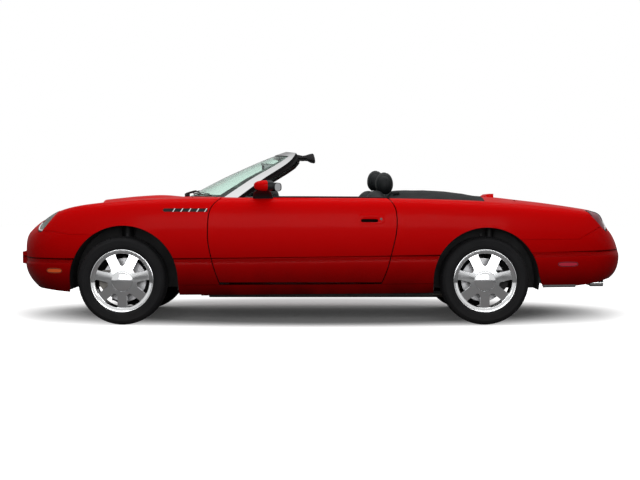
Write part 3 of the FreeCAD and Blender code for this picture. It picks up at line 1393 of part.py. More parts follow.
def nose_oval(grow):
    """The grille opening as an oval bar along the car, grown by some distance."""
    half_y, half_z = GRILLE_HALF_Y + grow, GRILLE_HALF_Z + grow
    curve = Part.Ellipse(Vector(0, 0, 0), half_y, half_z)
    face = Part.Face(Part.Wire(curve.toShape()))
    face.rotate(Vector(0, 0, 0), Vector(1, 1, 1), 120)
    face.translate(Vector(-FAR_X, 0, GRILLE_Z))
    return face.extrude(Vector(CUT_OVERRUN * 2, 0, 0))


GRILLE_SHEET = body_half(GRILLE_FRONT, CUT_OVERRUN, STATIONS).cut(body_half(GRILLE_BACK, CUT_OVERRUN * 2,
                                                                            STATIONS))


def grille():
    sheet = GRILLE_SHEET.common(box(-FAR_X, NOSE_FRAME_X, -FAR_Y, 0, 0, FAR_Z))
    bars = []
    rows = math.floor(GRILLE_HALF_Z / GRILLE_PITCH)
    columns = math.floor(GRILLE_HALF_Y / GRILLE_PITCH)
    for k in range(-rows, rows + 1):
        z = GRILLE_Z + k * GRILLE_PITCH
        bars.append(box(-FAR_X, NOSE_FRAME_X, -FAR_Y, FAR_Y, z - GRILLE_BAR / 2, z + GRILLE_BAR / 2))
    for k in range(-columns, 1):
        y = k * GRILLE_PITCH
        bars.append(box(-FAR_X, NOSE_FRAME_X, y - GRILLE_BAR / 2, y + GRILLE_BAR / 2, 0, FAR_Z))
    crate = bars[0].fuse(bars[1:])
    ring = nose_oval(0.0).cut(nose_oval(-GRILLE_RING))
    half = sheet.common(nose_oval(0.0)).common(crate.fuse(ring))
    return across(half)


# Plate pad under the grille, part of the nose cover
PAD_HALF = 290.0
PAD_LOW_Z = 440.0
PAD_HIGH_Z = 530.0
PAD_DEPTH = 60.0
PAD_INSET = 8.0
PAD_BEVEL = 14.0


def plate_pad():
    front = PAD_INSET - HALF_LENGTH
    return prism_y(
        [
            (front + PAD_DEPTH, PAD_LOW_Z - PAD_BEVEL), (front, PAD_LOW_Z), (front, PAD_HIGH_Z),
            (front + PAD_DEPTH, PAD_HIGH_Z + PAD_BEVEL),
        ],
        -PAD_HALF,
        0,
    ).cut(INNER)


# Lamps
LAMP_DEPTH = 95.0
BEZEL = 7.0


def headlamp():
    """A leaning round lamp: its front follows the wing, its back is flat."""
    outer = OUTER.common(HEADLAMP_BARREL)
    behind = box(NOSE_SPLIT_X + LAMP_DEPTH / 2, FAR_X, -FAR_Y, 0, 0, FAR_Z)
    return outer.cut(behind)


def tail_lamp():
    outer = OUTER.common(TAIL_LAMP_BARREL)
    ahead = box(-FAR_X, TAIL_LAMP_FRONT_X + LAMP_DEPTH, -FAR_Y, 0, 0, FAR_Z)
    core = outer.cut(INNER)
    return core.fuse(outer.cut(ahead))


FRONT_MARKER_X = -2020.0
FRONT_MARKER_Z = 405.0
FRONT_MARKER_HALF = 64.0
REAR_MARKER_X = 1861.0
REAR_MARKER_Z = 456.0
REAR_MARKER_HALF = 80.0
MARKER_TALL = 40.0
MARKER_POINTS = 16
MARKER_SQUARENESS = 0.65
MARKER_DEPTH = 12.0
MARKER_BODY = body_half(MARKER_DEPTH, CUT_OVERRUN, STATIONS)


def marker_zone(x, z, half, tall):
    """A rounded lozenge in the side view, let into the skin."""
    outline = []
    for k in range(MARKER_POINTS):
        turn = 2 * math.pi * k / MARKER_POINTS
        along = math.copysign(abs(math.cos(turn)) ** MARKER_SQUARENESS, math.cos(turn))
        up = math.copysign(abs(math.sin(turn)) ** MARKER_SQUARENESS, math.sin(turn))
        outline.append((x + half * along, z + tall / 2 * up))
    return prism_y(outline, -FAR_Y, -REAR_BAY_Y)


FRONT_MARKER = marker_zone(FRONT_MARKER_X, FRONT_MARKER_Z, FRONT_MARKER_HALF, MARKER_TALL)
REAR_MARKER = marker_zone(REAR_MARKER_X, REAR_MARKER_Z, REAR_MARKER_HALF, MARKER_TALL)
MARKER_SKIN = OUTER.cut(MARKER_BODY)


# Exhaust: silencer, two tail pipes and their bright tips under the rear cover
TIP_Y = 500.0
TIP_Z = 296.0
TIP_X0 = 2085.0
TIP_X1 = 2186.0
TIP_R = 28.0
TIP_WALL = 3.0
PIPE_R = 27.0
NECK_SHARE = 0.8
SILENCER_X0 = 1780.0
SILENCER_X1 = 1990.0
SILENCER_HALF = 240.0
SILENCER_Z = 328.0
SILENCER_TALL = 136.0
SILENCER_ROUND_SHARE = 0.8
EXHAUST_Z = FLOOR_Z - PIPE_R - PIN_CLEARANCE


def exhaust_half():
    tip = cylinder_x(TIP_R, TIP_X0, TIP_X1, -TIP_Y, TIP_Z).cut(
        cylinder_x(TIP_R - TIP_WALL, TIP_X0 + TIP_WALL, TIP_X1, -TIP_Y, TIP_Z))
    neck_start = Vector(SILENCER_X1 - PIPE_R * 2, -SILENCER_HALF + PIPE_R, SILENCER_Z + PIPE_R / 2)
    neck = rod(neck_start, Vector(TIP_X0 + TIP_WALL, -TIP_Y, TIP_Z), PIPE_R * NECK_SHARE)
    pipe_y = -TUNNEL_HALF - PIPE_R * 2
    bend = Vector(TUB_REAR_X + PIPE_R, pipe_y, EXHAUST_Z)
    front = rod(Vector(FIREWALL_X, pipe_y, EXHAUST_Z), bend, PIPE_R)
    kick = rod(bend, Vector(SILENCER_X0 + PIPE_R, pipe_y, SILENCER_Z), PIPE_R)
    joint = Part.makeSphere(PIPE_R, bend)
    return tip.fuse(neck).fuse(front).fuse(joint).fuse(kick)


def exhaust():
    side = SILENCER_TALL / 2
    can = Part.makeBox(SILENCER_X1 - SILENCER_X0, SILENCER_HALF * 2, SILENCER_TALL,
                       Vector(SILENCER_X0, -SILENCER_HALF, SILENCER_Z - side))
    lengthwise = [e for e in can.Edges if abs(e.tangentAt(0).x) > SILENCER_ROUND_SHARE]
    can = can.makeFillet(side * SILENCER_ROUND_SHARE, lengthwise)
    half = exhaust_half()
    return can.fuse(half).fuse(mirrored(half))


# Engine: one plain block between the front rails
ENGINE_FRONT_X = -1740.0
ENGINE_REAR_X = -1120.0
ENGINE_LOW_Z = 312.0
ENGINE_HIGH_Z = 830.0
ENGINE_SLOPE = 120.0


def engine():
    end = [
        (-RAIL_Y0, ENGINE_LOW_Z), (RAIL_Y0, ENGINE_LOW_Z), (RAIL_Y0, ENGINE_HIGH_Z - ENGINE_SLOPE),
        (RAIL_Y0 - ENGINE_SLOPE, ENGINE_HIGH_Z), (ENGINE_SLOPE - RAIL_Y0, ENGINE_HIGH_Z),
        (-RAIL_Y0, ENGINE_HIGH_Z - ENGINE_SLOPE),
    ]
    face = polygon_face([Vector(ENGINE_FRONT_X, y, z) for y, z in end])
    return face.extrude(Vector(ENGINE_REAR_X - ENGINE_FRONT_X, 0, 0))


# Front suspension: cross member, lower and upper arms, coil springs over dampers
CROSS_MEMBER_Z0 = 165.0
CROSS_MEMBER_HALF_X = 70.0
LOWER_PIVOT_X = 140.0
LOWER_PIVOT_Z = 160.0
UPPER_PIVOT_X = 85.0
UPPER_PIVOT_Y = 470.0
ARM_R = 13.0
SPRING_R = 44.0
SPRING_ROD_R = 16.0
SPRING_Y = 520.0


def front_suspension_half():
    low_ball = Vector(FRONT_AXLE_X, -KINGPIN_Y, KINGPIN_LOW_Z - BALL_R - BALL_GAP)
    high_ball = Vector(FRONT_AXLE_X, -KINGPIN_Y, KINGPIN_HIGH_Z + BALL_R + PIN_CLEARANCE)
    parts = [
        box(FRONT_AXLE_X - CROSS_MEMBER_HALF_X, FRONT_AXLE_X + CROSS_MEMBER_HALF_X, -RAIL_Y1, 0,
            LOWER_PIVOT_Z + ARM_R, RAIL_Z0),
        box(FRONT_AXLE_X - LOWER_PIVOT_X - ARM_R, FRONT_AXLE_X + LOWER_PIVOT_X + ARM_R, -RAIL_Y0 - ARM_R,
            -RAIL_Y0 + ARM_R * 2,
            LOWER_PIVOT_Z - ARM_R, LOWER_PIVOT_Z + ARM_R * 2),
        Part.makeSphere(BALL_R, low_ball),
        Part.makeSphere(BALL_R, high_ball),
    ]
    for side in (-1, 1):
        low_pivot = Vector(FRONT_AXLE_X + side * LOWER_PIVOT_X, -RAIL_Y0, LOWER_PIVOT_Z)
        high_pivot = Vector(FRONT_AXLE_X + side * UPPER_PIVOT_X, -UPPER_PIVOT_Y, KINGPIN_HIGH_Z + BALL_R)
        parts.append(rod(low_pivot, low_ball, ARM_R))
        parts.append(rod(high_pivot, high_ball, ARM_R))
        parts.append(box(high_pivot.x - ARM_R * 1.5, high_pivot.x + ARM_R * 1.5, -UPPER_PIVOT_Y - ARM_R,
                         -FRONT_BAY_Y - PIN_CLEARANCE,
                         high_pivot.z - ARM_R * 1.5, high_pivot.z + ARM_R * 1.5))
    spring_x = FRONT_AXLE_X
    offset = abs(spring_x - FRONT_ARCH_X) + SPRING_R
    top_z = ARCH_Z + math.sqrt(FRONT_ARCH_R ** 2 - offset ** 2) - PIN_CLEARANCE
    foot_z = LOWER_PIVOT_Z - ARM_R
    spring_low = (foot_z + top_z) / 2 + BALL_R
    parts.append(Part.makeCylinder(SPRING_ROD_R, spring_low - foot_z, Vector(spring_x, -SPRING_Y, foot_z)))
    parts.append(Part.makeCylinder(SPRING_R, top_z - spring_low, Vector(spring_x, -SPRING_Y, spring_low)))
    reach = (SPRING_Y - RAIL_Y0) / (KINGPIN_Y - RAIL_Y0)
    bridge_x = LOWER_PIVOT_X * (1 - reach)
    parts.append(box(spring_x - bridge_x, spring_x + bridge_x, -SPRING_Y - ARM_R, -SPRING_Y + ARM_R,
                     foot_z, foot_z + ARM_R))
    half = parts[0]
    for part in parts[1:]:
        half = half.fuse(part)
    return half


# Rear suspension: cross member with the final drive, shafts, arms, carriers and springs
DRIVE_R = 105.0
DRIVE_HALF = 150.0
SHAFT_R = 17.0
REAR_SPRING_X = 60.0
REAR_SPRING_Y = 612.0
REAR_ARM_Z = 215.0
REAR_PIVOT_Y = 300.0
REAR_ARM_X = 110.0


def rear_suspension_half():
    inner = DISC_Y + DISC_THICK + DISC_GAP - WHEEL_Y
    hub_y = -WHEEL_Y - DISC_Y / 2 + PIN_CLEARANCE
    foot = Vector(REAR_AXLE_X, inner + UPRIGHT_Y * 2, REAR_ARM_Z)
    parts = [
        cylinder_y(DRIVE_R, REAR_AXLE_X, WHEEL_Z, -DRIVE_HALF, 0),
        box(REAR_AXLE_X - REAR_ARM_X, REAR_AXLE_X + REAR_ARM_X, -RAIL_Y1, 0,
            REAR_RAIL_Z0 - FLOOR_THICK * 2, REAR_RAIL_Z0),
        box(REAR_AXLE_X - REAR_ARM_X, REAR_AXLE_X + REAR_ARM_X, -REAR_PIVOT_Y - ARM_R, -REAR_PIVOT_Y + ARM_R,
            REAR_ARM_Z - ARM_R, REAR_RAIL_Z0),
        cylinder_y(SHAFT_R, REAR_AXLE_X, WHEEL_Z, inner, -DRIVE_HALF),
        cylinder_y(STUB_R, REAR_AXLE_X, WHEEL_Z, hub_y, inner + UPRIGHT_Y),
        cylinder_y(HUB_R - RIM_WALL * 2, REAR_AXLE_X, WHEEL_Z, inner, inner + UPRIGHT_Y * 2),
        box(REAR_AXLE_X - UPRIGHT_X, REAR_AXLE_X + UPRIGHT_X, inner, inner + UPRIGHT_Y * 2,
            REAR_ARM_Z - ARM_R, WHEEL_Z),
        box(REAR_AXLE_X, REAR_AXLE_X + CALIPER_LOW_R + RIM_WALL, inner, inner + UPRIGHT_Y,
            WHEEL_Z - UPRIGHT_X, WHEEL_Z + UPRIGHT_X),
        placed_left(caliper(1), REAR_AXLE_X),
    ]
    for side in (-1, 1):
        parts.append(rod(Vector(REAR_AXLE_X + side * (REAR_ARM_X - ARM_R), -REAR_PIVOT_Y, REAR_ARM_Z),
                         foot, ARM_R))
    offset = abs(REAR_AXLE_X + REAR_SPRING_X - REAR_ARCH_X) + SPRING_ROD_R * 2
    top_z = ARCH_Z + math.sqrt(REAR_ARCH_R ** 2 - offset ** 2) - PIN_CLEARANCE
    middle_z = (REAR_ARM_Z + top_z) / 2
    parts.append(Part.makeCylinder(SPRING_ROD_R, middle_z - REAR_ARM_Z,
                                   Vector(REAR_AXLE_X + REAR_SPRING_X, -REAR_SPRING_Y, REAR_ARM_Z)))
    parts.append(Part.makeCylinder(SPRING_ROD_R * 2, top_z - middle_z,
                                   Vector(REAR_AXLE_X + REAR_SPRING_X, -REAR_SPRING_Y, middle_z)))
    parts.append(box(REAR_AXLE_X, REAR_AXLE_X + REAR_SPRING_X + SPRING_ROD_R, -REAR_SPRING_Y - ARM_R,
                     -REAR_SPRING_Y + ARM_R,
                     REAR_ARM_Z - ARM_R, REAR_ARM_Z + ARM_R))
    half = parts[0]
    for part in parts[1:]:
        half = half.fuse(part)
    return half


# Steering wheel on its column
WHEEL_HUB_X = -345.0
WHEEL_HUB_Z = 845.0
COLUMN_TILT = 25.0
GRIP_RING_R = 185.0
GRIP_R = 15.0
BOSS_R = 62.0
BOSS_FACE_R = 50.0
SPOKE_ANGLES = (0, 180, 235, 305)
BOSS_DEPTH = 44.0
COLUMN_R = 30.0
COLUMN_GAP = 6.0


def steering_wheel():
    ring = Part.makeTorus(GRIP_RING_R, GRIP_R, Vector(0, 0, 0), Vector(1, 0, 0))
    boss = Part.makeCone(BOSS_R, BOSS_FACE_R, BOSS_DEPTH, Vector(-BOSS_DEPTH / 2, 0, 0), Vector(1, 0, 0))
    wheel = ring.fuse(boss)
    for angle in SPOKE_ANGLES:
        spoke = box(-GRIP_R / 2, GRIP_R / 2, BOSS_R / 2, GRIP_RING_R, -GRIP_R, GRIP_R)
        spoke.rotate(Vector(0, 0, 0), Vector(1, 0, 0), angle)
        wheel = wheel.fuse(spoke)
    wheel.rotate(Vector(0, 0, 0), Vector(0, 1, 0), -COLUMN_TILT)
    wheel.translate(Vector(WHEEL_HUB_X, -SEAT_Y, WHEEL_HUB_Z))
    return wheel


def steering_column():
    tilt = math.radians(COLUMN_TILT)
    along = Vector(math.cos(tilt), 0, math.sin(tilt))
    hub = Vector(WHEEL_HUB_X, -SEAT_Y, WHEEL_HUB_Z)
    top = hub - along * (BOSS_DEPTH / 2 + PIN_CLEARANCE)
    return rod(hub - along * (DASH_EDGE_X - DASH_KNEE_X + BOSS_DEPTH * 2), top, COLUMN_R)


# Mirrors and visors
MIRROR_FRONT_X = -500.0
MIRROR_REAR_X = -343.0
MIRROR_LOW_Z = 1004.0
MIRROR_HIGH_Z = 1088.0
MIRROR_Y0 = 885.0
MIRROR_Y1 = 1048.0
MIRROR_FOOT_X0 = -515.0
MIRROR_FOOT_X1 = -352.0
MIRROR_FOOT_Y0 = 800.0
MIRROR_FOOT_Y1 = 846.0
MIRROR_FOOT_Z = 936.0
MIRROR_ARM = 34.0
# How far back the rounded shell would reach if it were whole, in lengths of the mirror
MIRROR_REACH_SHARE = 0.992


def door_mirror():
    reach = (MIRROR_REAR_X - MIRROR_FRONT_X) * MIRROR_REACH_SHARE
    half_y = (MIRROR_Y1 - MIRROR_Y0) / 2
    half_z = (MIRROR_HIGH_Z - MIRROR_LOW_Z) / 2
    shell = Part.makeSphere(1)
    matrix = FreeCAD.Matrix()
    matrix.scale(Vector(reach, half_y, half_z))
    shell = shell.transformGeometry(matrix)
    shell.translate(Vector(MIRROR_FRONT_X + reach, -(MIRROR_Y0 + MIRROR_Y1) / 2,
                           (MIRROR_LOW_Z + MIRROR_HIGH_Z) / 2))
    shell = shell.common(box(-FAR_X, MIRROR_REAR_X, -FAR_Y, 0, 0, FAR_Z))
    foot = prism_y(
        [
            (MIRROR_FOOT_X0, MIRROR_FOOT_Z), (MIRROR_FOOT_X1, MIRROR_FOOT_Z),
            (MIRROR_FOOT_X1 - WALL, MIRROR_LOW_Z - WALL / 2),
            (MIRROR_FRONT_X + MIRROR_ARM * 2, MIRROR_LOW_Z + WALL),
        ],
        -MIRROR_FOOT_Y1,
        -MIRROR_FOOT_Y0,
    )
    arm = box(MIRROR_FRONT_X + MIRROR_ARM * 2, MIRROR_REAR_X - MIRROR_ARM / 2, -MIRROR_Y0 - MIRROR_ARM,
              -MIRROR_FOOT_Y0 - WALL,
              MIRROR_LOW_Z - MIRROR_ARM / 3, MIRROR_LOW_Z + MIRROR_ARM / 2)
    mirror = shell.fuse(foot).fuse(arm)
    return mirror.cut(door_left)


VISOR_FRONT_X = -240.0
VISOR_LENGTH = 193.0
VISOR_LOW_Z = 1236.0
VISOR_TALL = 64.0
VISOR_SHARES = [
    (0.0, 0.94), (0.57, 0.75), (0.89, 1.0), (1.0, 0.25), (0.855, 0.11), (0.57, 0.0), (0.13, 0.41),
    (0.0, 0.61),
]
VISOR_Y0 = 110.0
VISOR_Y1 = 520.0
MIRROR_IN_X = -446.0
MIRROR_IN_Z = 1206.0
MIRROR_IN_HALF = 120.0
MIRROR_IN_TALL = 56.0
MIRROR_IN_DEEP = 24.0
MIRROR_STEM_R = 9.0


def largest(shape):
    return max(shape.Solids, key=lambda solid: solid.Volume)


def visor():
    outline = [(VISOR_FRONT_X + VISOR_LENGTH * x, VISOR_LOW_Z + VISOR_TALL * z) for x, z in VISOR_SHARES]
    return prism_y(outline, -VISOR_Y1, -VISOR_Y0)


def inside_mirror():
    body = box(MIRROR_IN_X, MIRROR_IN_X + MIRROR_IN_DEEP, -MIRROR_IN_HALF, MIRROR_IN_HALF,
               MIRROR_IN_Z - MIRROR_IN_TALL / 2,
               MIRROR_IN_Z + MIRROR_IN_TALL / 2)
    stem = rod(Vector(MIRROR_IN_X + MIRROR_IN_DEEP / 2, 0, MIRROR_IN_Z),
               Vector(MIRROR_IN_X, 0, SCREEN_TOP_Z), MIRROR_STEM_R)
    outside = across(screen_slab(-CUT_OVERRUN, GLASS_INSET + GLASS_THICK))
    return body.fuse(stem).cut(outside)


# High brake lamp pod on the rear deck
POD_X0 = 1305.0
POD_X1 = 1378.0
POD_HALF = 150.0
POD_RISE = 24.0
POD_EDGE = 5.0


def lamp_pod():
    base = crown_z(POD_X0) - WALL
    return prism_y(
        [
            (POD_X0, base), (POD_X1, base), (POD_X1, base + WALL + POD_RISE),
            (POD_X0 + POD_RISE, base + WALL + POD_RISE - POD_EDGE),
            (POD_X0, base + WALL + POD_RISE / 6),
        ],
        -POD_HALF,
        POD_HALF,
    )


# Assembly
bulkheads = across(bulkheads_half())
floor_pan = across(floor_half()).cut(bulkheads)
for bracket in door_hinge_brackets():
    floor_pan = floor_pan.fuse(bracket).fuse(mirrored(bracket))
front_structure = across(front_structure_half()).cut(bulkheads).cut(floor_pan)
rear_structure = across(rear_structure_half()).fuse(both_sides(quarter_trim)).cut(bulkheads).cut(floor_pan)
frame_solid, glass_solid = windscreen()
scoop_grid = scoop_rows()
scoop = across(hull_between(shifted(scoop_grid, 0, -SCOOP_RISE - WALL), scoop_grid)).cut(across(INNER))
hood_eye, hood_pin = lid_hinge(HOOD_PIN_X, HOOD_HINGE_Y, -1, HOOD_REAR_GAP)
lid_eye, lid_pin = lid_hinge(LID_PIN_X, LID_HINGE_Y, 1, LID_GAP)
mirror_shape = door_mirror()
nodes = {
    "floor_pan": floor_pan,
    "bulkheads": bulkheads,
    "front_structure": front_structure,
    "rear_structure": rear_structure,
    "front_bumper": across(front_cover_left.fuse(plate_pad())).cut(nose_oval(0.0))
    .cut(both_sides(FRONT_MARKER.cut(MARKER_BODY))),
    "rear_bumper": across(rear_cover_left).cut(both_sides(REAR_MARKER.cut(MARKER_BODY))),
    "fenders": both_sides(fender_left),
    "fender_vents": both_sides(louvre()),
    "quarters": both_sides(quarter_left),
    "sills": both_sides(sill_left),
    "cowl": across(cowl_half.fuse(hood_pin)),
    "rear_deck": across(deck_half.fuse(lid_pin)).fuse(lamp_pod()),
    "windshield_frame": frame_solid,
    "windshield": glass_solid,
    "dashboard": dashboard().fuse(steering_column()),
    "seat_left": seat(-SEAT_Y, 0.0, 0.0),
    "seat_right": seat(SEAT_Y, FAR_SEAT_SHIFT_X, FAR_HEADREST_LIFT),
    "boot_cover": boot_cover(),
    "grille": grille(),
    "headlamps": both_sides(headlamp()),
    "tail_lamps": both_sides(tail_lamp()),
    "front_markers": both_sides(MARKER_SKIN.common(FRONT_MARKER)),
    "rear_markers": both_sides(MARKER_SKIN.common(REAR_MARKER)),
    "exhaust": exhaust(),
    "engine": engine(),
    "front_suspension": across(front_suspension_half()),
    "rear_suspension": across(rear_suspension_half()),
    "visors": both_sides(largest(visor().cut(frame_solid))),
    "inside_mirror": inside_mirror(),
    "door_left": door_left,
    "door_right": mirrored(door_left),
    "mirror_left": mirror_shape,
    "mirror_right": mirrored(mirror_shape),
    "hood": across(hood_half.fuse(hood_eye)).fuse(scoop),
    "trunk_lid": across(lid_half.fuse(lid_eye)),
    "steering_wheel": steering_wheel(),
}
knuckle_shape = front_knuckle()
nodes["knuckle_left"] = placed_left(knuckle_shape, FRONT_AXLE_X)
nodes["knuckle_right"] = mirrored(placed_left(knuckle_shape, FRONT_AXLE_X))
rim_shape, tyre_shape, disc_shape = rim(), tyre(), brake_disc()
for end, axle_x in (("front", FRONT_AXLE_X), ("rear", REAR_AXLE_X)):
    for kind, shape in (("rim", rim_shape), ("tyre", tyre_shape), ("disc", disc_shape)):
        nodes[kind + "_" + end + "_left"] = placed_left(shape, axle_x)
        nodes[kind + "_" + end + "_right"] = mirrored(placed_left(shape, axle_x))

for name, shape in nodes.items():
    shape.exportStep("parts/" + name + ".step")
    print(name, len(shape.Solids), round(shape.Volume / 1000), shape.isValid())
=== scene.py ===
"""Looks of the two-seat convertible: materials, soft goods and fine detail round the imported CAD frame."""
import math

import bmesh
import bpy
from mathutils import Matrix, Vector


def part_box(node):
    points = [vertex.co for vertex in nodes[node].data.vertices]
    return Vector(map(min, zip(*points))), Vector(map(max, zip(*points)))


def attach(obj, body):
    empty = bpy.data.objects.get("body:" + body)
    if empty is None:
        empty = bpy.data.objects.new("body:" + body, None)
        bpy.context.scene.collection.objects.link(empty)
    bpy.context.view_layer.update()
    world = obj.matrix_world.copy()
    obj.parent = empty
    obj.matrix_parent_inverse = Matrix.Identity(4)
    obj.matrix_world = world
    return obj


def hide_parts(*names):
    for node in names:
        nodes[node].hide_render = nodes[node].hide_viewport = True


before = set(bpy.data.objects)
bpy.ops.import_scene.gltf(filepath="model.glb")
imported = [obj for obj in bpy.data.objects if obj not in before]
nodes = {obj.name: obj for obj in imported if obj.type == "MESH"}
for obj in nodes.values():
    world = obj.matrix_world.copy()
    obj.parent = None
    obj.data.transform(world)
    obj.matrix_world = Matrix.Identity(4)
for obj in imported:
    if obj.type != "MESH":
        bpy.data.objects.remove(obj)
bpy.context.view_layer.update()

# Camera. The photograph is a long-lens side view from the car's left, a little above the door's waistline.
# All lengths here are metres: +X is the tail, -Y the car's left and +Z up.
camera = bpy.data.objects.new("camera", bpy.data.cameras.new("camera"))
camera.data.lens = 78.4
camera.data.sensor_width = 36.0
camera.location = (-0.008, -11.3, 0.977)
camera.rotation_euler = (math.radians(88.15), 0, 0)
bpy.context.scene.collection.objects.link(camera)
bpy.context.scene.camera = camera
bpy.context.scene.view_settings.view_transform = "Standard"

# Studio floor. A sheet of white paper under the car. The camera sees it as plain white some way off the car,
# and close by sees the car's real shadow inside a painted oval of shade, where that white glow fades out;
# other rays find it grey, so that little light comes up from it.
FLOOR_HALF = 30.0
SHADOW_SHARES = (0.31, 0.50, 0)
SHADOW_SHIFT = (0, -0.25, 0)


def feed(tree, node, feeds):
    """Gives inputs of a node a value each, or another node's output."""
    for label, value in feeds.items():
        if isinstance(value, bpy.types.NodeSocket):
            tree.links.new(value, node.inputs[label])
        else:
            node.inputs[label].default_value = value


def add(tree, kind, feeds=None, **settings):
    """Adds a node, with its settings and what feeds its inputs."""
    made = tree.nodes.new(kind)
    for label, value in settings.items():
        setattr(made, label, value)
    feed(tree, made, feeds or {})
    return made


def sum_of(tree, operation, *values):
    """The result of a maths node on numbers or other nodes' outputs."""
    return add(tree, "ShaderNodeMath", dict(enumerate(values)), operation=operation).outputs[0]


def vector_sum(tree, operation, *values):
    """The outputs of a vector maths node on vectors or other nodes' outputs."""
    return add(tree, "ShaderNodeVectorMath", dict(enumerate(values)), operation=operation).outputs


def mapped(tree, value, low, high, to_low=0.0, to_high=1.0, kind="LINEAR"):
    """A value's range stretched onto another range."""
    feeds = {"Value": value, "From Min": low, "From Max": high, "To Min": to_low, "To Max": to_high}
    return add(tree, "ShaderNodeMapRange", feeds, interpolation_type=kind).outputs[0]


def blended(tree, share, first, second):
    """A colour that a share takes from the first to the second."""
    return add(tree, "ShaderNodeMix", {0: share, 6: first, 7: second}, data_type="RGBA").outputs[2]


corners = [(x * FLOOR_HALF, y * FLOOR_HALF, 0) for x, y in ((-1, -1), (1, -1), (1, 1), (-1, 1))]
floor_mesh = bpy.data.meshes.new("floor")
floor_mesh.from_pydata(corners, [], [(0, 1, 2, 3)])
floor = bpy.data.objects.new("floor", floor_mesh)
bpy.context.scene.collection.objects.link(floor)
paper = bpy.data.materials.new("studio_paper")
paper.use_nodes = True
tree = paper.node_tree
tree.nodes.clear()
camera_ray = add(tree, "ShaderNodeLightPath").outputs["Is Camera Ray"]
tone = blended(tree, camera_ray, (0.24, 0.24, 0.24, 1), (0.85, 0.85, 0.85, 1))
lit = add(tree, "ShaderNodeBsdfDiffuse", {"Color": tone})
spot = add(tree, "ShaderNodeTexCoord").outputs["Object"]
# Painted shadow: the glow fades out over an oval set round the car and shifted to its far side, which places
# the shadow's soft edge.
away = vector_sum(tree, "MULTIPLY_ADD", spot, SHADOW_SHARES, SHADOW_SHIFT)[0]
fade = mapped(tree, vector_sum(tree, "LENGTH", away)["Value"], 0.54, 0.98, 0.02, 1.0, "SMOOTHSTEP")
glow = add(tree, "ShaderNodeEmission", {"Strength": sum_of(tree, "MULTIPLY", fade, camera_ray)})
both = add(tree, "ShaderNodeAddShader", {0: lit.outputs[0], 1: glow.outputs[0]})
add(tree, "ShaderNodeOutputMaterial", {"Surface": both.outputs[0]})
floor_mesh.materials.append(paper)

# Studio room. White to the camera and through glass, a soft fill for matt surfaces, and brighter overhead and
# on the camera's side for what mirrors it.
room = bpy.data.worlds.new("studio_room")
bpy.context.scene.world = room
room.use_nodes = True
tree = room.node_tree
tree.nodes.clear()
ray = add(tree, "ShaderNodeLightPath").outputs
axes = add(tree, "ShaderNodeSeparateXYZ", {0: add(tree, "ShaderNodeTexCoord").outputs["Generated"]}).outputs
raised = mapped(tree, axes["Z"], 0.30, 0.75, 0.10, 0.85)
facing = mapped(tree, axes["Y"], 0.15, -0.25, 0.0, 0.75)
glossed = sum_of(tree, "MULTIPLY", sum_of(tree, "MAXIMUM", raised, facing), ray["Is Glossy Ray"])
through = sum_of(tree, "MAXIMUM", ray["Is Camera Ray"], ray["Is Transmission Ray"])
fill = add(tree, "ShaderNodeBackground", {"Color": (1, 1, 1, 1), "Strength": 0.28})
white = add(tree, "ShaderNodeBackground", {"Color": (1, 1, 1, 1), "Strength": 1.0})
share = sum_of(tree, "MAXIMUM", through, glossed)
pick = add(tree, "ShaderNodeMixShader", {0: share, 1: fill.outputs[0], 2: white.outputs[0]})
add(tree, "ShaderNodeOutputWorld", {"Surface": pick.outputs[0]})

# Lamps. One long soft box hangs over the car, and a wider one stands on the side that the camera sees.
# Each row is a name, a place, an aim, a size and a power.
for name, place, aim, size, power in (
    ("overhead_box", (0.0, -0.5, 4.8), (0.0, 0.0, 0.5), (6.8, 2.6), 140.0),
    ("side_box", (0.0, -8.5, 2.0), (0.0, 0.0, 0.6), (7.5, 2.4), 250.0),
):
    lamp = bpy.data.objects.new(name, bpy.data.lights.new(name, "AREA"))
    lamp.data.shape = "RECTANGLE"
    lamp.data.size, lamp.data.size_y = size
    lamp.data.energy = power
    lamp.location = place
    lamp.rotation_euler = (Vector(aim) - Vector(place)).to_track_quat("-Z", "Y").to_euler()
    bpy.context.scene.collection.objects.link(lamp)

# Painted panels. Solid red base coat under a thin clear coat, on pressed steel and moulded covers. Painted
# shade darkens them towards the ground, and a pressed crease runs along each side.
PLAIN = "NodeSocketFloat"
COLOURED = "NodeSocketColor"


def group_tree(name, given, made):
    """A shader group with named inputs and outputs; gives back its tree and what its inputs hold."""
    tree = bpy.data.node_groups.new(name, "ShaderNodeTree")
    for label, value in given:
        kind = COLOURED if isinstance(value, tuple) else PLAIN
        tree.interface.new_socket(label, in_out="INPUT", socket_type=kind).default_value = value
    for label in made:
        kind = COLOURED if label == "Colour" else PLAIN
        tree.interface.new_socket(label, in_out="OUTPUT", socket_type=kind)
    return tree, tree.nodes.new("NodeGroupInput").outputs


grain, given = group_tree(
    "fine_grain",
    (("Colour", (0.5, 0.5, 0.5, 1)), ("Change", 0.1), ("Scale", 300.0), ("Low", 0.4), ("High", 0.5)),
    ("Colour", "Roughness", "Height"),
)
spot = add(grain, "ShaderNodeTexCoord").outputs["Object"]
speck = add(grain, "ShaderNodeTexNoise", {"Vector": spot, "Scale": given["Scale"], "Detail": 3.0}).outputs[0]
blotch = add(grain, "ShaderNodeTexNoise", {"Vector": spot, "Scale": 9.0}).outputs[0]
kept = sum_of(grain, "SUBTRACT", 1.0, sum_of(grain, "MULTIPLY", speck, given["Change"]))
tinted = add(grain, "ShaderNodeVectorMath", {0: given["Colour"], "Scale": kept}, operation="SCALE")
gloss = mapped(grain, blotch, 0.3, 0.7, given["Low"], given["High"])
add(grain, "NodeGroupOutput", {"Colour": tinted.outputs[0], "Roughness": gloss, "Height": speck})
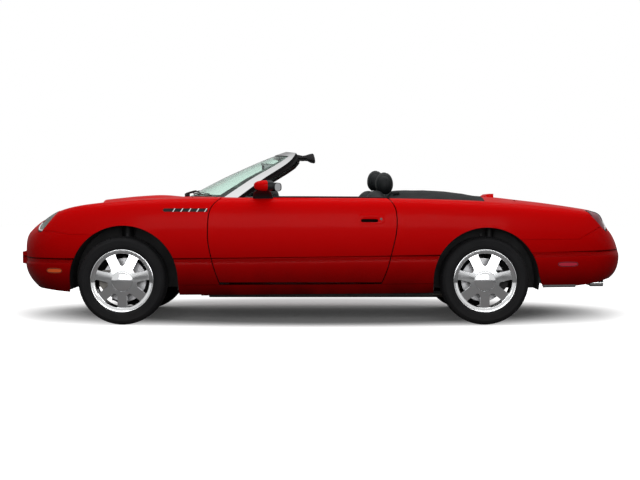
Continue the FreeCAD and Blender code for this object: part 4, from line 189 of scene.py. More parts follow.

# Darker towards the ground: real road dust on most materials, painted shade on the red paint.
dust_and_shade_tree, given = group_tree(
    "dust_and_low_shade",
    (("Colour", (0.5, 0.5, 0.5, 1)), ("Dust And Shade", (0.1, 0.09, 0.08, 1)), ("Top", 0.5), ("Most", 0.3)),
    ("Colour",),
)
spot = add(dust_and_shade_tree, "ShaderNodeTexCoord").outputs["Object"]
lift = add(dust_and_shade_tree, "ShaderNodeSeparateXYZ", {0: spot}).outputs["Z"]
height = mapped(dust_and_shade_tree, lift, 0.05, given["Top"], 1.0, 0.0, "SMOOTHSTEP")
patches = add(dust_and_shade_tree, "ShaderNodeTexNoise", {"Vector": spot, "Scale": 5.0, "Detail": 5.0}).outputs[0]
uneven = sum_of(dust_and_shade_tree, "MULTIPLY", height, mapped(dust_and_shade_tree, patches, 0.0, 1.0, 0.44, 0.56))
most = sum_of(dust_and_shade_tree, "MULTIPLY", uneven, given["Most"])
add(dust_and_shade_tree, "NodeGroupOutput", {"Colour": blended(dust_and_shade_tree, most, given["Colour"], given["Dust And Shade"])})


def new_material(name, **feeds):
    """A material with its tree, its Principled node and the fine grain group that feeds it."""
    made = bpy.data.materials.new(name)
    made.use_nodes = True
    tree = made.node_tree
    fine = add(tree, "ShaderNodeGroup", feeds, node_tree=grain, name="grain")
    shader = tree.nodes["Principled BSDF"]
    feed(tree, shader, {"Base Color": fine.outputs["Colour"], "Roughness": fine.outputs["Roughness"]})
    return made, tree, shader, fine


def surface(
    name, colour, rough, scale, depth, metallic=0.0, specular=0.5, coat=0.0, change=0.12, spread=0.06,
):
    """A procedural material: constants on its shader; tone, gloss and bump come from the fine grain."""
    low, high = max(rough - spread, 0.02), min(rough + spread, 1.0)
    made, tree, shader, fine = new_material(
        name, Colour=(*colour, 1), Change=change, Scale=scale, Low=low, High=high,
    )
    relief = {"Distance": depth, "Height": fine.outputs["Height"]}
    bump = add(tree, "ShaderNodeBump", relief, name="grain_bump")
    feed(tree, shader, {
        "Metallic": metallic, "Specular IOR Level": specular, "Coat Weight": coat, "Coat Roughness": 0.05,
        "Normal": bump.outputs["Normal"],
    })
    return made


def dusted_and_shaded(material, top, most, dust_and_shade=(0.10, 0.085, 0.07, 1)):
    """Darkens a material that surface() made towards the ground: road dust on most, painted shade on the red
    lacquer.
    """
    tree = material.node_tree
    under = tree.nodes["grain"].outputs["Colour"]
    feeds = {"Colour": under, "Top": top, "Most": most, "Dust And Shade": dust_and_shade}
    over = add(tree, "ShaderNodeGroup", feeds, node_tree=dust_and_shade_tree)
    feed(tree, tree.nodes["Principled BSDF"], {"Base Color": over.outputs["Colour"]})
    return material


def dress(material, *names):
    """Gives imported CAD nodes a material."""
    for name in names:
        nodes[name].data.materials.clear()
        nodes[name].data.materials.append(material)


def dress_faces(node, finishes, choose):
    """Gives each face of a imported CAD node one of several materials, picked by its centre and normal."""
    mesh = nodes[node].data
    mesh.materials.clear()
    for finish in finishes:
        mesh.materials.append(finish)
    for face in mesh.polygons:
        face.material_index = choose(face.center, face.normal)


lacquer = surface(
    "red_lacquer", (0.66, 0.0010, 0.0014), 0.36, 1400.0, 0.00002, specular=0.02, coat=0.025, change=0.03,
)
# Painted shade: the red is blended towards near black low down on the body, standing in for the shade on the
# lower flanks.
dusted_and_shaded(lacquer, 0.80, 2.2, dust_and_shade=(0.024, 0.0, 0.0, 1))
# The crease is a shallow groove whose lower lip catches the light; it rises a little towards the tail.
crease, given = group_tree("side_crease", (("Lift", 0.505), ("Rise", 0.0135), ("Bend", 0.0028)), ("Height",))
axes = add(crease, "ShaderNodeSeparateXYZ", {0: add(crease, "ShaderNodeTexCoord").outputs["Object"]}).outputs
slope = sum_of(crease, "MULTIPLY_ADD", axes["X"], given["Bend"], given["Rise"])
line = sum_of(crease, "MULTIPLY_ADD", axes["X"], slope, given["Lift"])
above = sum_of(crease, "SUBTRACT", axes["Z"], line)
UPPER_WALL, LOWER_WALL = 0.011, -0.026
walls = [mapped(crease, above, 0.0, wall) for wall in (UPPER_WALL, LOWER_WALL)]
add(crease, "NodeGroupOutput", {"Height": sum_of(crease, "MAXIMUM", *walls)})
tree = lacquer.node_tree
pressed = add(tree, "ShaderNodeGroup", node_tree=crease)
under = tree.nodes["grain_bump"].outputs["Normal"]
fold = add(tree, "ShaderNodeBump", {"Distance": 0.0400, "Height": pressed.outputs["Height"], "Normal": under})
feed(tree, tree.nodes["Principled BSDF"], {"Normal": fold.outputs["Normal"]})
PAINTED = (
    "front_bumper", "rear_bumper", "fenders", "quarters", "cowl", "hood", "trunk_lid", "rear_deck", "door_",
    "mirror_", "sills",
)
dress(lacquer, *[name for name in nodes if name.startswith(PAINTED)])

# Floor and inner structure. Bare pressings, spot-welded and sprayed with black stone-chip sealer, with a film
# of dust low down.
sealer = surface("black_sealer", (0.016, 0.016, 0.017), 0.72, 420.0, 0.0006, change=0.3)
dusted_and_shaded(sealer, 0.45, 0.6, dust_and_shade=(0.045, 0.040, 0.035, 1))
dress(sealer, "floor_pan", "bulkheads", "front_structure", "rear_structure")

# Alloy wheels. Each is cast with seven flat spokes that fall away slightly from the hub to the rolled rim.
# Bright plating covers it, and a plain domed cap clips over the studs.
AXLES = (("front", -1.493), ("rear", 1.230))
AXLE_Z = 0.333
WHEEL_Y = 0.7685
SIDES = (("left", -1), ("right", 1))
SPOKE_COUNT = 7
SPOKE_HALF = 0.036
STAR_INNER_R = 0.060
STAR_OUTER_R = 0.209
WINDOW_APEX_R = 0.110
WINDOW_OUTER_R = 0.2045
WINDOW_CORNER = 0.012
FACE_HUB_Y = -0.093
FACE_RIM_Y = -0.082
STAR_DEPTH = 0.024
EDGE = 0.0014
SECTOR_HALF = math.pi / SPOKE_COUNT


def spread(a, b, count):
    """Places from a to b in count even steps."""
    return [a + (b - a) * k / count for k in range(count + 1)]


def round_turns(count):
    """Angles of a full turn in count even steps, from zero."""
    return [math.tau * k / count for k in range(count)]


def grid_faces(bm, rows, close_rows=False, close_columns=False):
    """Quads over a grid of vertices; a quad with a repeated corner becomes a triangle."""
    for i in range(len(rows) - (0 if close_rows else 1)):
        upper, lower = rows[i], rows[(i + 1) % len(rows)]
        for j in range(len(upper) - (0 if close_columns else 1)):
            k = (j + 1) % len(upper)
            corners = []
            for v in (upper[j], upper[k], lower[k], lower[j]):
                if v not in corners:
                    corners.append(v)
            if len(corners) > 2 and not bm.faces.get(corners):
                bm.faces.new(corners)


def barrel(bm, rows):
    """A closed form through rings of vertices, with a face at each end."""
    grid_faces(bm, rows, close_columns=True)
    bm.faces.new(rows[0])
    bm.faces.new(rows[-1])


def plate(bm, front, back):
    """A closed slab between two grids of vertices."""
    grid_faces(bm, front)
    grid_faces(bm, back)
    for a, b in zip((front, list(zip(*front))), (back, list(zip(*back)))):
        for end in (0, -1):
            grid_faces(bm, [a[end], b[end]])


def revolved(bm, profile, segments, closed=True):
    """A (radius, y) outline spun about the Y axis; a radius of zero closes to one point."""
    rows = []
    turns = round_turns(segments)
    for radius, y in profile:
        if radius == 0:
            rows.append([bm.verts.new((0, y, 0))] * segments)
        else:
            rows.append([bm.verts.new((radius * math.sin(a), y, radius * math.cos(a))) for a in turns])
    grid_faces(bm, rows, close_rows=closed, close_columns=True)


def finished(bm, name, material=None, smooth=38):
    """Closes up a bmesh, points its faces outwards and keeps its sharp edges sharp."""
    bmesh.ops.remove_doubles(bm, verts=bm.verts, dist=0.00002)
    bmesh.ops.recalc_face_normals(bm, faces=bm.faces)
    for f in bm.faces:
        f.smooth = True
    for e in bm.edges:
        e.smooth = not (e.is_manifold and e.calc_face_angle() > math.radians(smooth))
    mesh = bpy.data.meshes.new(name)
    bm.to_mesh(mesh)
    bm.free()
    if material:
        mesh.materials.append(material)
    return mesh


def piece(name, mesh, body, into=None):
    """A finished mesh as an object on a body; into moves it, and a mirrored one is turned outwards."""
    if into is not None:
        mesh.transform(into)
        if into.determinant() < 0:
            mesh.flip_normals()
    made = bpy.data.objects.new(name, mesh)
    bpy.context.scene.collection.objects.link(made)
    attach(made, body)
    return made


def put(bm, name, material, body, into=None, smooth=38):
    """A bmesh as a piece on a body of the car."""
    return piece(name, finished(bm, name, material, smooth), body, into)


def spoke_reach(radius):
    """How far the metal reaches to each side of a spoke's middle line, as an angle, at one radius."""
    fillet = (WINDOW_APEX_R * math.sin(SECTOR_HALF) - SPOKE_HALF) / (1 - math.sin(SECTOR_HALF))
    centre = WINDOW_APEX_R + fillet
    if radius <= WINDOW_APEX_R:
        return SECTOR_HALF
    if radius < math.hypot(centre * math.cos(SECTOR_HALF), SPOKE_HALF):
        share = (radius ** 2 + centre ** 2 - fillet ** 2) / (2 * radius * centre)
        return SECTOR_HALF - math.acos(min(share, 1.0))
    flare = max(min(radius, WINDOW_OUTER_R) - (WINDOW_OUTER_R - WINDOW_CORNER), 0.0)
    widened = WINDOW_CORNER - math.sqrt(max(WINDOW_CORNER ** 2 - flare ** 2, 0.0))
    return math.asin((SPOKE_HALF + widened) / radius)


def star_sector():
    """One seventh of the star: a spoke with its share of the hub, its front edges slightly chamfered."""
    radii = [
        STAR_INNER_R, 0.078, 0.095, WINDOW_APEX_R, 0.1103, 0.1112, 0.1128, 0.1152, 0.119, 0.1245, 0.131,
        0.150, 0.172, WINDOW_OUTER_R - WINDOW_CORNER, 0.1965, 0.2003, 0.2028, 0.2042, WINDOW_OUTER_R,
        STAR_OUTER_R,
    ]
    columns = 8
    bm = bmesh.new()
    front, back = [], []
    for radius in radii:
        reach = spoke_reach(radius)
        fall = (radius - STAR_INNER_R) / (STAR_OUTER_R - STAR_INNER_R)
        face_y = FACE_HUB_Y + (FACE_RIM_Y - FACE_HUB_Y) * fall
        chamfer = EDGE if WINDOW_APEX_R < radius < WINDOW_OUTER_R else 0.0
        inner = reach - chamfer / radius
        turns = [-reach, *spread(-inner, inner, columns), reach]
        sunk = [face_y + (chamfer if k in (0, columns + 2) else 0.0) for k in range(columns + 3)]
        deep = [face_y + STAR_DEPTH] * len(turns)
        for rows, depths in ((front, sunk), (back, deep)):
            spots = [(radius * math.sin(a), y, -radius * math.cos(a)) for a, y in zip(turns, depths)]
            rows.append([bm.verts.new(spot) for spot in spots])
    bmesh.ops.remove_doubles(bm, verts=bm.verts, dist=0.000001)
    front = [[v for v in row if v.is_valid] for row in front]
    back = [[v for v in row if v.is_valid] for row in back]
    apex = radii.index(WINDOW_APEX_R)
    for rows in (front, back):
        for a, b in zip(rows, rows[1:]):
            if len(a) < len(b):
                a = [a[0], *a, a[-1]]
            elif len(a) > len(b):
                b = [b[0], *b, b[-1]]
            grid_faces(bm, [a, b])
    for end in (0, -1):
        grid_faces(bm, [[row[end] for row in rows][apex:] for rows in (front, back)])
        grid_faces(bm, [front[end], back[end]])
    return finished(bm, "star_sector")


def ring_tree(name):
    """Geometry Nodes tree: copies a sector round the Y axis and gives the copies a material."""
    tree = bpy.data.node_groups.new(name, "GeometryNodeTree")
    for label, kind in (("Sector", "Geometry"), ("Count", "Int"), ("Finish", "Material")):
        tree.interface.new_socket(label, in_out="INPUT", socket_type=f"NodeSocket{kind}")
    tree.interface.new_socket("Ring", in_out="OUTPUT", socket_type="NodeSocketGeometry")
    given = tree.nodes.new("NodeGroupInput").outputs
    points = add(tree, "GeometryNodePoints", {"Count": given["Count"]}).outputs[0]
    step = sum_of(tree, "DIVIDE", math.tau, given["Count"])
    turn = sum_of(tree, "MULTIPLY", add(tree, "GeometryNodeInputIndex").outputs[0], step)
    about = add(tree, "ShaderNodeCombineXYZ", {"Y": turn}).outputs[0]
    feeds = {"Points": points, "Instance": given["Sector"], "Rotation": about}
    copies = add(tree, "GeometryNodeInstanceOnPoints", feeds).outputs[0]
    real = add(tree, "GeometryNodeRealizeInstances", {0: copies}).outputs[0]
    painted = add(tree, "GeometryNodeSetMaterial", {"Geometry": real, "Material": given["Finish"]})
    add(tree, "NodeGroupOutput", {0: painted.outputs[0]})
    return tree


ring_of = ring_tree("ring_of_sectors")


def ring_mesh(sector, count, finish):
    """The plain mesh of count copies of a sector round the Y axis."""
    holder = bpy.data.objects.new("holder", sector)
    bpy.context.scene.collection.objects.link(holder)
    modifier = holder.modifiers.new("nodes", "NODES")
    modifier.node_group = ring_of
    sockets = {s.name: s.identifier for s in ring_of.interface.items_tree if s.in_out == "INPUT"}
    modifier[sockets["Count"]] = count
    modifier[sockets["Finish"]] = finish
    graph = bpy.context.evaluated_depsgraph_get()
    made = bpy.data.meshes.new_from_object(holder.evaluated_get(graph), depsgraph=graph)
    holder.modifiers.clear()
    bpy.data.objects.remove(holder)
    return made


plated = surface(
    "bright_plating", (0.86, 0.87, 0.88), 0.08, 900.0, 0.00002, metallic=1.0, change=0.04, spread=0.02,
)
dusted_and_shaded(plated, 0.60, 0.25, dust_and_shade=(0.25, 0.24, 0.23, 1))
RIM_PROFILE = [
    (0.2365, -0.1035), (0.2360, -0.1055), (0.2340, -0.1066), (0.2315, -0.1064), (0.2290, -0.1048),
    (0.2255, -0.0995), (0.2215, -0.0960), (0.2125, -0.0932), (0.2085, -0.0912), (0.2045, -0.0880),
    (0.2040, -0.0860), (0.2040, -0.0660), (0.2075, -0.0550), (0.2075, 0.0850), (0.2260, 0.0980),
    (0.2300, 0.1050), (0.2355, 0.1050), (0.2355, 0.0970), (0.2165, 0.0870), (0.2165, -0.0860),
    (0.2355, -0.0960),
]
CAP_PROFILE = [
    (0.0, -0.1120), (0.012, -0.1118), (0.026, -0.1108), (0.040, -0.1090), (0.053, -0.1064), (0.0635, -0.1032),
    (0.0655, -0.1018), (0.0668, -0.1018), (0.0686, -0.1012), (0.0745, -0.0992), (0.0785, -0.0966),
    (0.0800, -0.0930), (0.0795, -0.0850), (0.0, -0.0850),
]
HUB_PROFILE = [(0.030, -0.020), (0.082, -0.020), (0.082, -0.080), (0.030, -0.080)]
bm = bmesh.new()
bm.from_mesh(ring_mesh(star_sector(), SPOKE_COUNT, plated))
revolved(bm, RIM_PROFILE, 168)
revolved(bm, CAP_PROFILE, 96, closed=False)
revolved(bm, HUB_PROFILE, 64)
rim_mesh = finished(bm, "alloy_rim", plated)

# Tyres. Low-profile black rubber, moulded with a rim-guard rib, shoulder blocks and four running grooves. One
# pitch of the tread is made and copied round. Each outline row is a radius, a place across and a groove's
# depth.
TREAD_PITCHES = 48
BEAD_R, BEAD_HALF = 0.2170, 0.0870
NARROW_GROOVE = 0.002
SIDEWALL = [
    (BEAD_R, -BEAD_HALF), (0.2360, -0.0960), (0.2375, -0.1040), (0.2440, -0.1090), (0.2510, -0.1135),
    (0.2530, -0.1150), (0.2560, -0.1150), (0.2575, -0.1138), (0.2620, -0.1148), (0.2650, -0.1152),
    (0.2664, -0.1160), (0.2690, -0.1160), (0.2704, -0.1152), (0.2850, -0.1160), (0.2960, -0.1155),
    (0.2972, -0.1162), (0.3000, -0.1158), (0.3012, -0.1145), (0.3080, -0.1112),
]
SHOULDER = [
    (0.3150, -0.1068, 0.0012), (0.3225, -0.0995, 0.0035), (0.3275, -0.0900, 0.0050),
    (0.3300, -0.0800, 0.0050),
]
CROWN = [
    (0.3316, -0.0660, 0.0050), (0.3250, -0.0650, 0.0), (0.3252, -0.0590, 0.0), (0.3322, -0.0580, 0.0020),
    (0.3328, -0.0270, 0.0020), (0.3262, -0.0260, 0.0), (0.3262, -0.0190, 0.0), (0.3330, -0.0180, 0.0018),
    (0.3330, 0.0, 0.0018),
]
PITCH_SHARES = (0.0, 0.05, 0.062, 0.438, 0.45, 0.55, 0.562, 0.938, 0.95, 1.0)
outer_half = [(r, y, 0.0) for r, y in SIDEWALL] + SHOULDER + CROWN
bm = bmesh.new()
rows = []
for radius, y, cut in outer_half + [(r, -y, cut) for r, y, cut in reversed(outer_half[:-1])]:
    cut_columns = (4, 5) if 0 < cut <= NARROW_GROOVE else (0, 1, 8, 9)
    row = []
    for k, share in enumerate(PITCH_SHARES):
        r = radius - (cut if k in cut_columns else 0.0)
        turn = math.tau / TREAD_PITCHES * share
        row.append(bm.verts.new((r * math.sin(turn), y, r * math.cos(turn))))
    rows.append(row)
grid_faces(bm, rows)
pitch = finished(bm, "tread_pitch")
rubber = surface("tyre_rubber", (0.0105, 0.0105, 0.0115), 0.66, 700.0, 0.0003, change=0.25, specular=0.14)
dusted_and_shaded(rubber, 0.16, 0.4, dust_and_shade=(0.030, 0.028, 0.026, 1))
bm = bmesh.new()
bm.from_mesh(ring_mesh(pitch, TREAD_PITCHES, rubber))
revolved(bm, [(BEAD_R, -BEAD_HALF), (BEAD_R, BEAD_HALF)], TREAD_PITCHES * 2, closed=False)
tyre_mesh = finished(bm, "tyre", rubber, smooth=32)

# Wheels in place. Each hub gets its own copy of the rim and the tyre; the right-hand ones are mirrored.
# The tyre sits on the rim's beads.
for end, axle_x in AXLES:
    for side, way in SIDES:
        into = Matrix.Translation((axle_x, WHEEL_Y * way, AXLE_Z)) @ Matrix.Diagonal((1, -way, 1, 1))
        body = f"wheel_{end}_{side}"
        rim = piece(f"alloy_{end}_{side}", rim_mesh.copy(), body, into)
        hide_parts(f"rim_{end}_{side}")
        tyre = piece(f"rubber_{end}_{side}", tyre_mesh.copy(), body, into)
        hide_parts(f"tyre_{end}_{side}")

# Brake discs and what carries the wheels. Turned iron discs, bright where the pads sweep and rusty on the
# hat; knuckles and engine are bare castings, and the suspension arms are painted steel.
HAT_R = 0.100
SWEPT_R = 0.104
for end, axle_x in AXLES:
    iron = surface(f"brake_iron_{end}", (0.5, 0.5, 0.5), 0.32, 60.0, 0.0001, metallic=0.9)
    tree = iron.node_tree
    spot = add(tree, "ShaderNodeTexCoord").outputs["Object"]
    centred = vector_sum(tree, "SUBTRACT", spot, (axle_x, 0, AXLE_Z))[0]
    flat = vector_sum(tree, "MULTIPLY", centred, (1, 0, 1))[0]
    swept = mapped(tree, vector_sum(tree, "LENGTH", flat)["Value"], HAT_R, SWEPT_R)
    rust_to_steel = blended(tree, swept, (0.17, 0.085, 0.05, 1), (0.42, 0.42, 0.43, 1))
    feed(tree, tree.nodes["grain"], {"Colour": rust_to_steel})
    feed(tree, tree.nodes["Principled BSDF"], {"Metallic": swept})
    dress(iron, f"disc_{end}_left", f"disc_{end}_right")
casting = surface("bare_casting", (0.30, 0.29, 0.27), 0.55, 260.0, 0.0004, metallic=0.7, change=0.35)
dusted_and_shaded(casting, 0.7, 0.9)
dress(casting, "knuckle_left", "knuckle_right", "engine")
black_steel = surface("black_steel", (0.012, 0.012, 0.013), 0.55, 260.0, 0.0004, change=0.35, specular=0.25)
dress(black_steel, "front_suspension", "rear_suspension")

# Wing vents. Pressed strakes with a bright finish stand in front of a black back plate, in a slot behind each
# front wheel's arch.
STRAKE_FRONT_Y = 0.8735
moulding = surface("black_moulding", (0.011, 0.012, 0.013), 0.46, 900.0, 0.0002, change=0.2, specular=0.18)
bright = surface(
    "bright_trim", (0.90, 0.905, 0.91), 0.06, 800.0, 0.00001, metallic=1.0, change=0.03, spread=0.02,
)
dress_faces("fender_vents", (moulding, bright), lambda c, n: 1 if abs(c.y) > STRAKE_FRONT_Y else 0)

# Doors. Painted steel outside, and a grained black moulding inside. The pull sits over a finger recess in the
# outer skin, painted near black and dull as the shade inside it.
RECESS_X = (0.288, 0.466)
RECESS_Z = (0.766, 0.838)
RECESS_FLOOR_Y = 0.8945
TRIM_Y = 0.80
TRIM_TOP_Z = 0.957
# Painted shade: the recess is darker and duller than any black moulding, so it reads as shade.
recess_shade = surface("recess_shade", (0.003, 0.002, 0.002), 0.7, 900.0, 0.0002, change=0.2, specular=0.03)
door_trim = surface("door_trim", (0.020, 0.020, 0.021), 0.58, 520.0, 0.0004, change=0.25, specular=0.35)


def door_finish(centre, normal):
    """Paint (0), the recess (1) or the inner trim (2), for one face of a door."""
    in_recess = RECESS_X[0] < centre.x < RECESS_X[1] and RECESS_Z[0] < centre.z < RECESS_Z[1]
    if in_recess and abs(centre.y) < RECESS_FLOOR_Y:
        return 1
    return 2 if abs(centre.y) < TRIM_Y and centre.z < TRIM_TOP_Z and normal.z < 0.7 else 0


for side, way in SIDES:
    dress_faces(f"door_{side}", (lacquer, recess_shade, door_trim), door_finish)

# Belt strips. An extruded black rubber seal runs along the top of each door, behind the mirror, and wipes the
# glass as it drops.
BELT_X = (-0.395, 0.530)
BELT_Y = 0.7865
BELT_R = 0.0062


def tube(bm, path, radius, sides=10, closed=False):
    """A round tube along a list of points."""
    path = [Vector(p) for p in path]
    rows = []
    count = len(path)
    side = None
    for k, p in enumerate(path):
        ahead = path[(k + 1) % count] if closed or k < count - 1 else p
        behind = path[k - 1] if closed or k > 0 else p
        along = (ahead - behind).normalized()
        if side is None:
            side = along.orthogonal().normalized()
        side = (side - along * side.dot(along)).normalized()
        up = along.cross(side)
        turned = [side * math.cos(a) + up * math.sin(a) for a in round_turns(sides)]
        rows.append([bm.verts.new(p + outwards * radius) for outwards in turned])
    grid_faces(bm, rows, close_rows=closed, close_columns=True)
    if not closed:
        bm.faces.new(rows[0])
        bm.faces.new(reversed(rows[-1]))


def hit(node, start, towards):
    """Where a straight line from start first meets a CAD node, or None."""
    found, place, _, _ = nodes[node].ray_cast(Vector(start), Vector(towards))
    return place if found else None


def drop(node, x, y):
    """The height of a node's top surface over one place in plan."""
    place = hit(node, (x, y, 3.0), (0, 0, -1))
    return place.z if place else None


for side, way in SIDES:
    bm = bmesh.new()
    edge_y = way * (BELT_Y + 0.0015)
    path = [(x, way * BELT_Y, drop(f"door_{side}", x, edge_y) + 0.004) for x in spread(*BELT_X, 18)]
    tube(bm, path, BELT_R, 8)
    put(bm, f"belt_strip_{side}", moulding, f"door_{side}")

# Door cards. A moulded armrest with a pull, speaker rings and an inner lever, clipped to each door's trim.
# The armrest's outline is in the side view, and each step of its depth is drawn in a little more.
ARMREST = [
    (-0.42, 0.690), (-0.40, 0.712), (-0.30, 0.722), (0.10, 0.724), (0.34, 0.716), (0.42, 0.700),
    (0.43, 0.660), (0.34, 0.628), (0.0, 0.612), (-0.30, 0.622), (-0.40, 0.650),
]
ARMREST_MIDDLE = (0.005, 0.672)
ARMREST_DEPTHS = ((0.774, 1.0), (0.752, 1.0), (0.735, 0.985), (0.724, 0.95), (0.720, 0.88))
SPEAKERS = ((-0.47, 0.46, 0.082), (-0.50, 0.80, 0.030))
CARD_Y = 0.7745


def stacked(bm, outline, middle, steps, way):
    """A closed form from one side outline, set at each step across and drawn in about its middle there."""
    rows = []
    for y, grow in steps:
        spots = [(middle[0] + (x - middle[0]) * grow, middle[1] + (z - middle[1]) * grow) for x, z in outline]
        rows.append([bm.verts.new((x, way * y, z)) for x, z in spots])
    barrel(bm, rows)


def box_mesh(bm, corner, opposite, bevel=0.0, segments=2):
    """A box between two opposite corners, with its edges rounded off."""
    low, high = (Vector(map(end, corner, opposite)) for end in (min, max))
    made = bmesh.ops.create_cube(bm, size=1.0)["verts"]
    for v in made:
        v.co = (low + high) / 2 + Vector(a * b for a, b in zip(v.co, high - low))
    if bevel:
        edges = list({e for v in made for e in v.link_edges})
        bmesh.ops.bevel(bm, geom=edges, offset=bevel, segments=segments, profile=0.5, affect="EDGES")


for side, way in SIDES:
    bm = bmesh.new()
    stacked(bm, ARMREST, ARMREST_MIDDLE, ARMREST_DEPTHS, way)
    for x, z, radius in SPEAKERS:
        ring = [(x + radius * math.sin(a), way * CARD_Y, z + radius * math.cos(a)) for a in round_turns(40)]
        tube(bm, ring, 0.0045, 8, closed=True)
    box_mesh(bm, (-0.33, way * 0.764, 0.795), (-0.22, way * 0.776, 0.815), 0.004)
    put(bm, f"door_card_{side}", door_trim, f"door_{side}")

# Door handles. A body-coloured cover with a rounded grip slot lies flush over each finger recess, beside a
# lock. The cover's section is given as shares of the way from the slot to its edge, with how far it lifts.
COVER_AT, COVER_HALVES = (0.377, 0.8015), (0.0975, 0.0385)
SLOT_AT, SLOT_HALVES = (0.3615, 0.786), (0.0635, 0.0125)
COVER_LIFTS = (
    (1.0, -0.002), (1.0, 0.0006), (0.97, 0.0014), (0.5, 0.0018), (0.04, 0.0016), (0.0, 0.0004), (0.0, -0.008),
)
SKIN_LOW_Z, SKIN_HIGH_Z = 0.757, 0.846
LOCK_AT = (0.448, 0.798)
LOCK_DEPTH = 0.004


def from_side(node, x, z, way):
    """How far out a node's side surface lies at one place in the side view."""
    place = hit(node, (x, way * 3.0, z), (0, -way, 0))
    return place.y if place else None


def door_y(side, way, x, z):
    """The door's own skin over its handle recess, read from the skin above and below it."""
    low, high = (from_side(f"door_{side}", x, edge, way) for edge in (SKIN_LOW_Z, SKIN_HIGH_Z))
    share = (z - SKIN_LOW_Z) / (SKIN_HIGH_Z - SKIN_LOW_Z)
    return low + (high - low) * share + way * 0.004 * share * (1 - share)


def squircle(turn, power):
    """A point of a rounded square of half size 1; a higher power has tighter corners."""
    c, s = math.cos(turn), math.sin(turn)
    reach = (abs(c) ** power + abs(s) ** power) ** (-1 / power)
    return c * reach, s * reach


def disc(bm, segments, foot_r, top_r, depth, into):
    """A short round stub with both ends closed."""
    bmesh.ops.create_cone(
        bm, cap_ends=True, segments=segments, radius1=foot_r, radius2=top_r, depth=depth, matrix=into,
    )


lock_steel = surface("lock_steel", (0.10, 0.07, 0.07), 0.35, 400.0, 0.0001, metallic=0.7, change=0.1)
for side, way in SIDES:
    bm = bmesh.new()
    rings = []
    for share, lift in COVER_LIFTS:
        row = []
        for turn in round_turns(96):
            across, up = squircle(turn, 5)
            outer = Vector((COVER_AT[0] + COVER_HALVES[0] * across, COVER_AT[1] + COVER_HALVES[1] * up))
            slot = Vector((SLOT_AT[0] + SLOT_HALVES[0] * across, SLOT_AT[1] + SLOT_HALVES[1] * up))
            spot = slot + (outer - slot) * share
            row.append(bm.verts.new((spot.x, door_y(side, way, *spot) + way * lift, spot.y)))
        rings.append(row)
    grid_faces(bm, rings, close_columns=True)
    put(bm, f"handle_cover_{side}", lacquer, f"door_{side}")
    bm = bmesh.new()
    lock_y = door_y(side, way, *LOCK_AT)
    upright = Matrix.Rotation(-way * math.pi / 2, 4, "X")
    for radius, lift in ((0.0095, 0.0026), (0.0062, 0.0034)):
        into = Matrix.Translation((LOCK_AT[0], lock_y + way * lift, LOCK_AT[1])) @ upright
        disc(bm, 28, radius, radius * 0.9, LOCK_DEPTH, into)
    put(bm, f"door_lock_{side}", lock_steel, f"door_{side}")

# Door mirrors. A domed painted cap clips over a black rim on a black foot, which is screwed to the door. The
# silvered glass is turned a little towards the driver.
MIRROR_NOSE_X = -0.4990
MIRROR_OUT = 0.9665
MIRROR_Z = 1.0460
CAP_SHARES = (0.0, 0.01, 0.03, 0.07, 0.13, 0.2, 0.3, 0.42, 0.54, 0.64, 0.70)
RIM_SHARES = (0.70, 0.705, 0.76, 0.82, 0.88, 0.94, 0.985, 1.0)
DOME_SHARE = 0.82
mirror_silver = surface(
    "mirror_silver", (0.82, 0.84, 0.86), 0.03, 400.0, 0.000005, metallic=1.0, change=0.02, spread=0.01,
)


def mirror_section(share, turn, way):
    """A point of the mirror's shell: from its nose (0) to its glass (1), round its oval section."""
    across, up = squircle(turn, 2.8)
    if share < DOME_SHARE:
        swell = (1 - (1 - share / DOME_SHARE) ** 2.6) ** (1 / 2.6)
    else:
        swell = 1.0 - 0.06 * ((share - DOME_SHARE) / (1 - DOME_SHARE)) ** 2
    out = MIRROR_OUT + 0.0790 * across * swell
    rear_x = -0.3450 - 0.062 * (1 - (out - 0.885) / 0.163)
    z = MIRROR_Z + 0.0405 * up * swell * (1.0 if turn < math.pi else 0.96)
    return Vector((MIRROR_NOSE_X + (rear_x - MIRROR_NOSE_X) * share, way * out, z))


def mirror_end(bm, turns, way, shrink, deeper):
    """A ring inside the mirror's open end, drawn in towards its middle and set back."""
    middle = (mirror_section(1.0, 0.0, way) + mirror_section(1.0, math.pi, way)) / 2
    inset = Vector((deeper, 0, 0))
    return [bm.verts.new(middle + (mirror_section(1.0, a, way) - middle) * shrink - inset) for a in turns]


for side, way in SIDES:
    turns = round_turns(64)
    for name, finish, shares, slot in (
        ("cap", lacquer, CAP_SHARES, "paint"), ("rim", moulding, RIM_SHARES, "dash_plastic"),
    ):
        bm = bmesh.new()
        rows = [[bm.verts.new(mirror_section(s, a, way)) for a in turns] for s in shares]
        if name == "rim":
            rows += [mirror_end(bm, turns, way, *inset) for inset in ((0.93, 0.0), (0.92, 0.010))]
        barrel(bm, rows)
        made = put(bm, f"mirror_{name}_{side}", finish, f"door_{side}")
        if name == "cap":
            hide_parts(f"mirror_{side}")
    bm = bmesh.new()
    barrel(bm, [mirror_end(bm, turns, way, 0.915, deeper) for deeper in (0.0035, 0.0060)])
    put(bm, f"mirror_glass_{side}", mirror_silver, f"door_{side}")
    bm = bmesh.new()
    foot_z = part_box(f"mirror_{side}")[0][2]
    rows = []
    for z, front_x, back_x, inner, outer in (
        (foot_z, -0.513, -0.356, 0.802, 0.846), (0.962, -0.512, -0.362, 0.802, 0.850),
        (0.985, -0.508, -0.368, 0.806, 0.880), (1.000, -0.502, -0.374, 0.812, 0.940),
        (1.010, -0.486, -0.384, 0.830, 0.985),
    ):
        row = []
        for along, out in (squircle(turn, 4) for turn in round_turns(40)):
            x = (front_x + back_x + (back_x - front_x) * along) / 2
            row.append(bm.verts.new((x, way * (inner + outer + (outer - inner) * out) / 2, z)))
        rows.append(row)
    barrel(bm, rows)
    put(bm, f"mirror_foot_{side}", moulding, f"door_{side}")

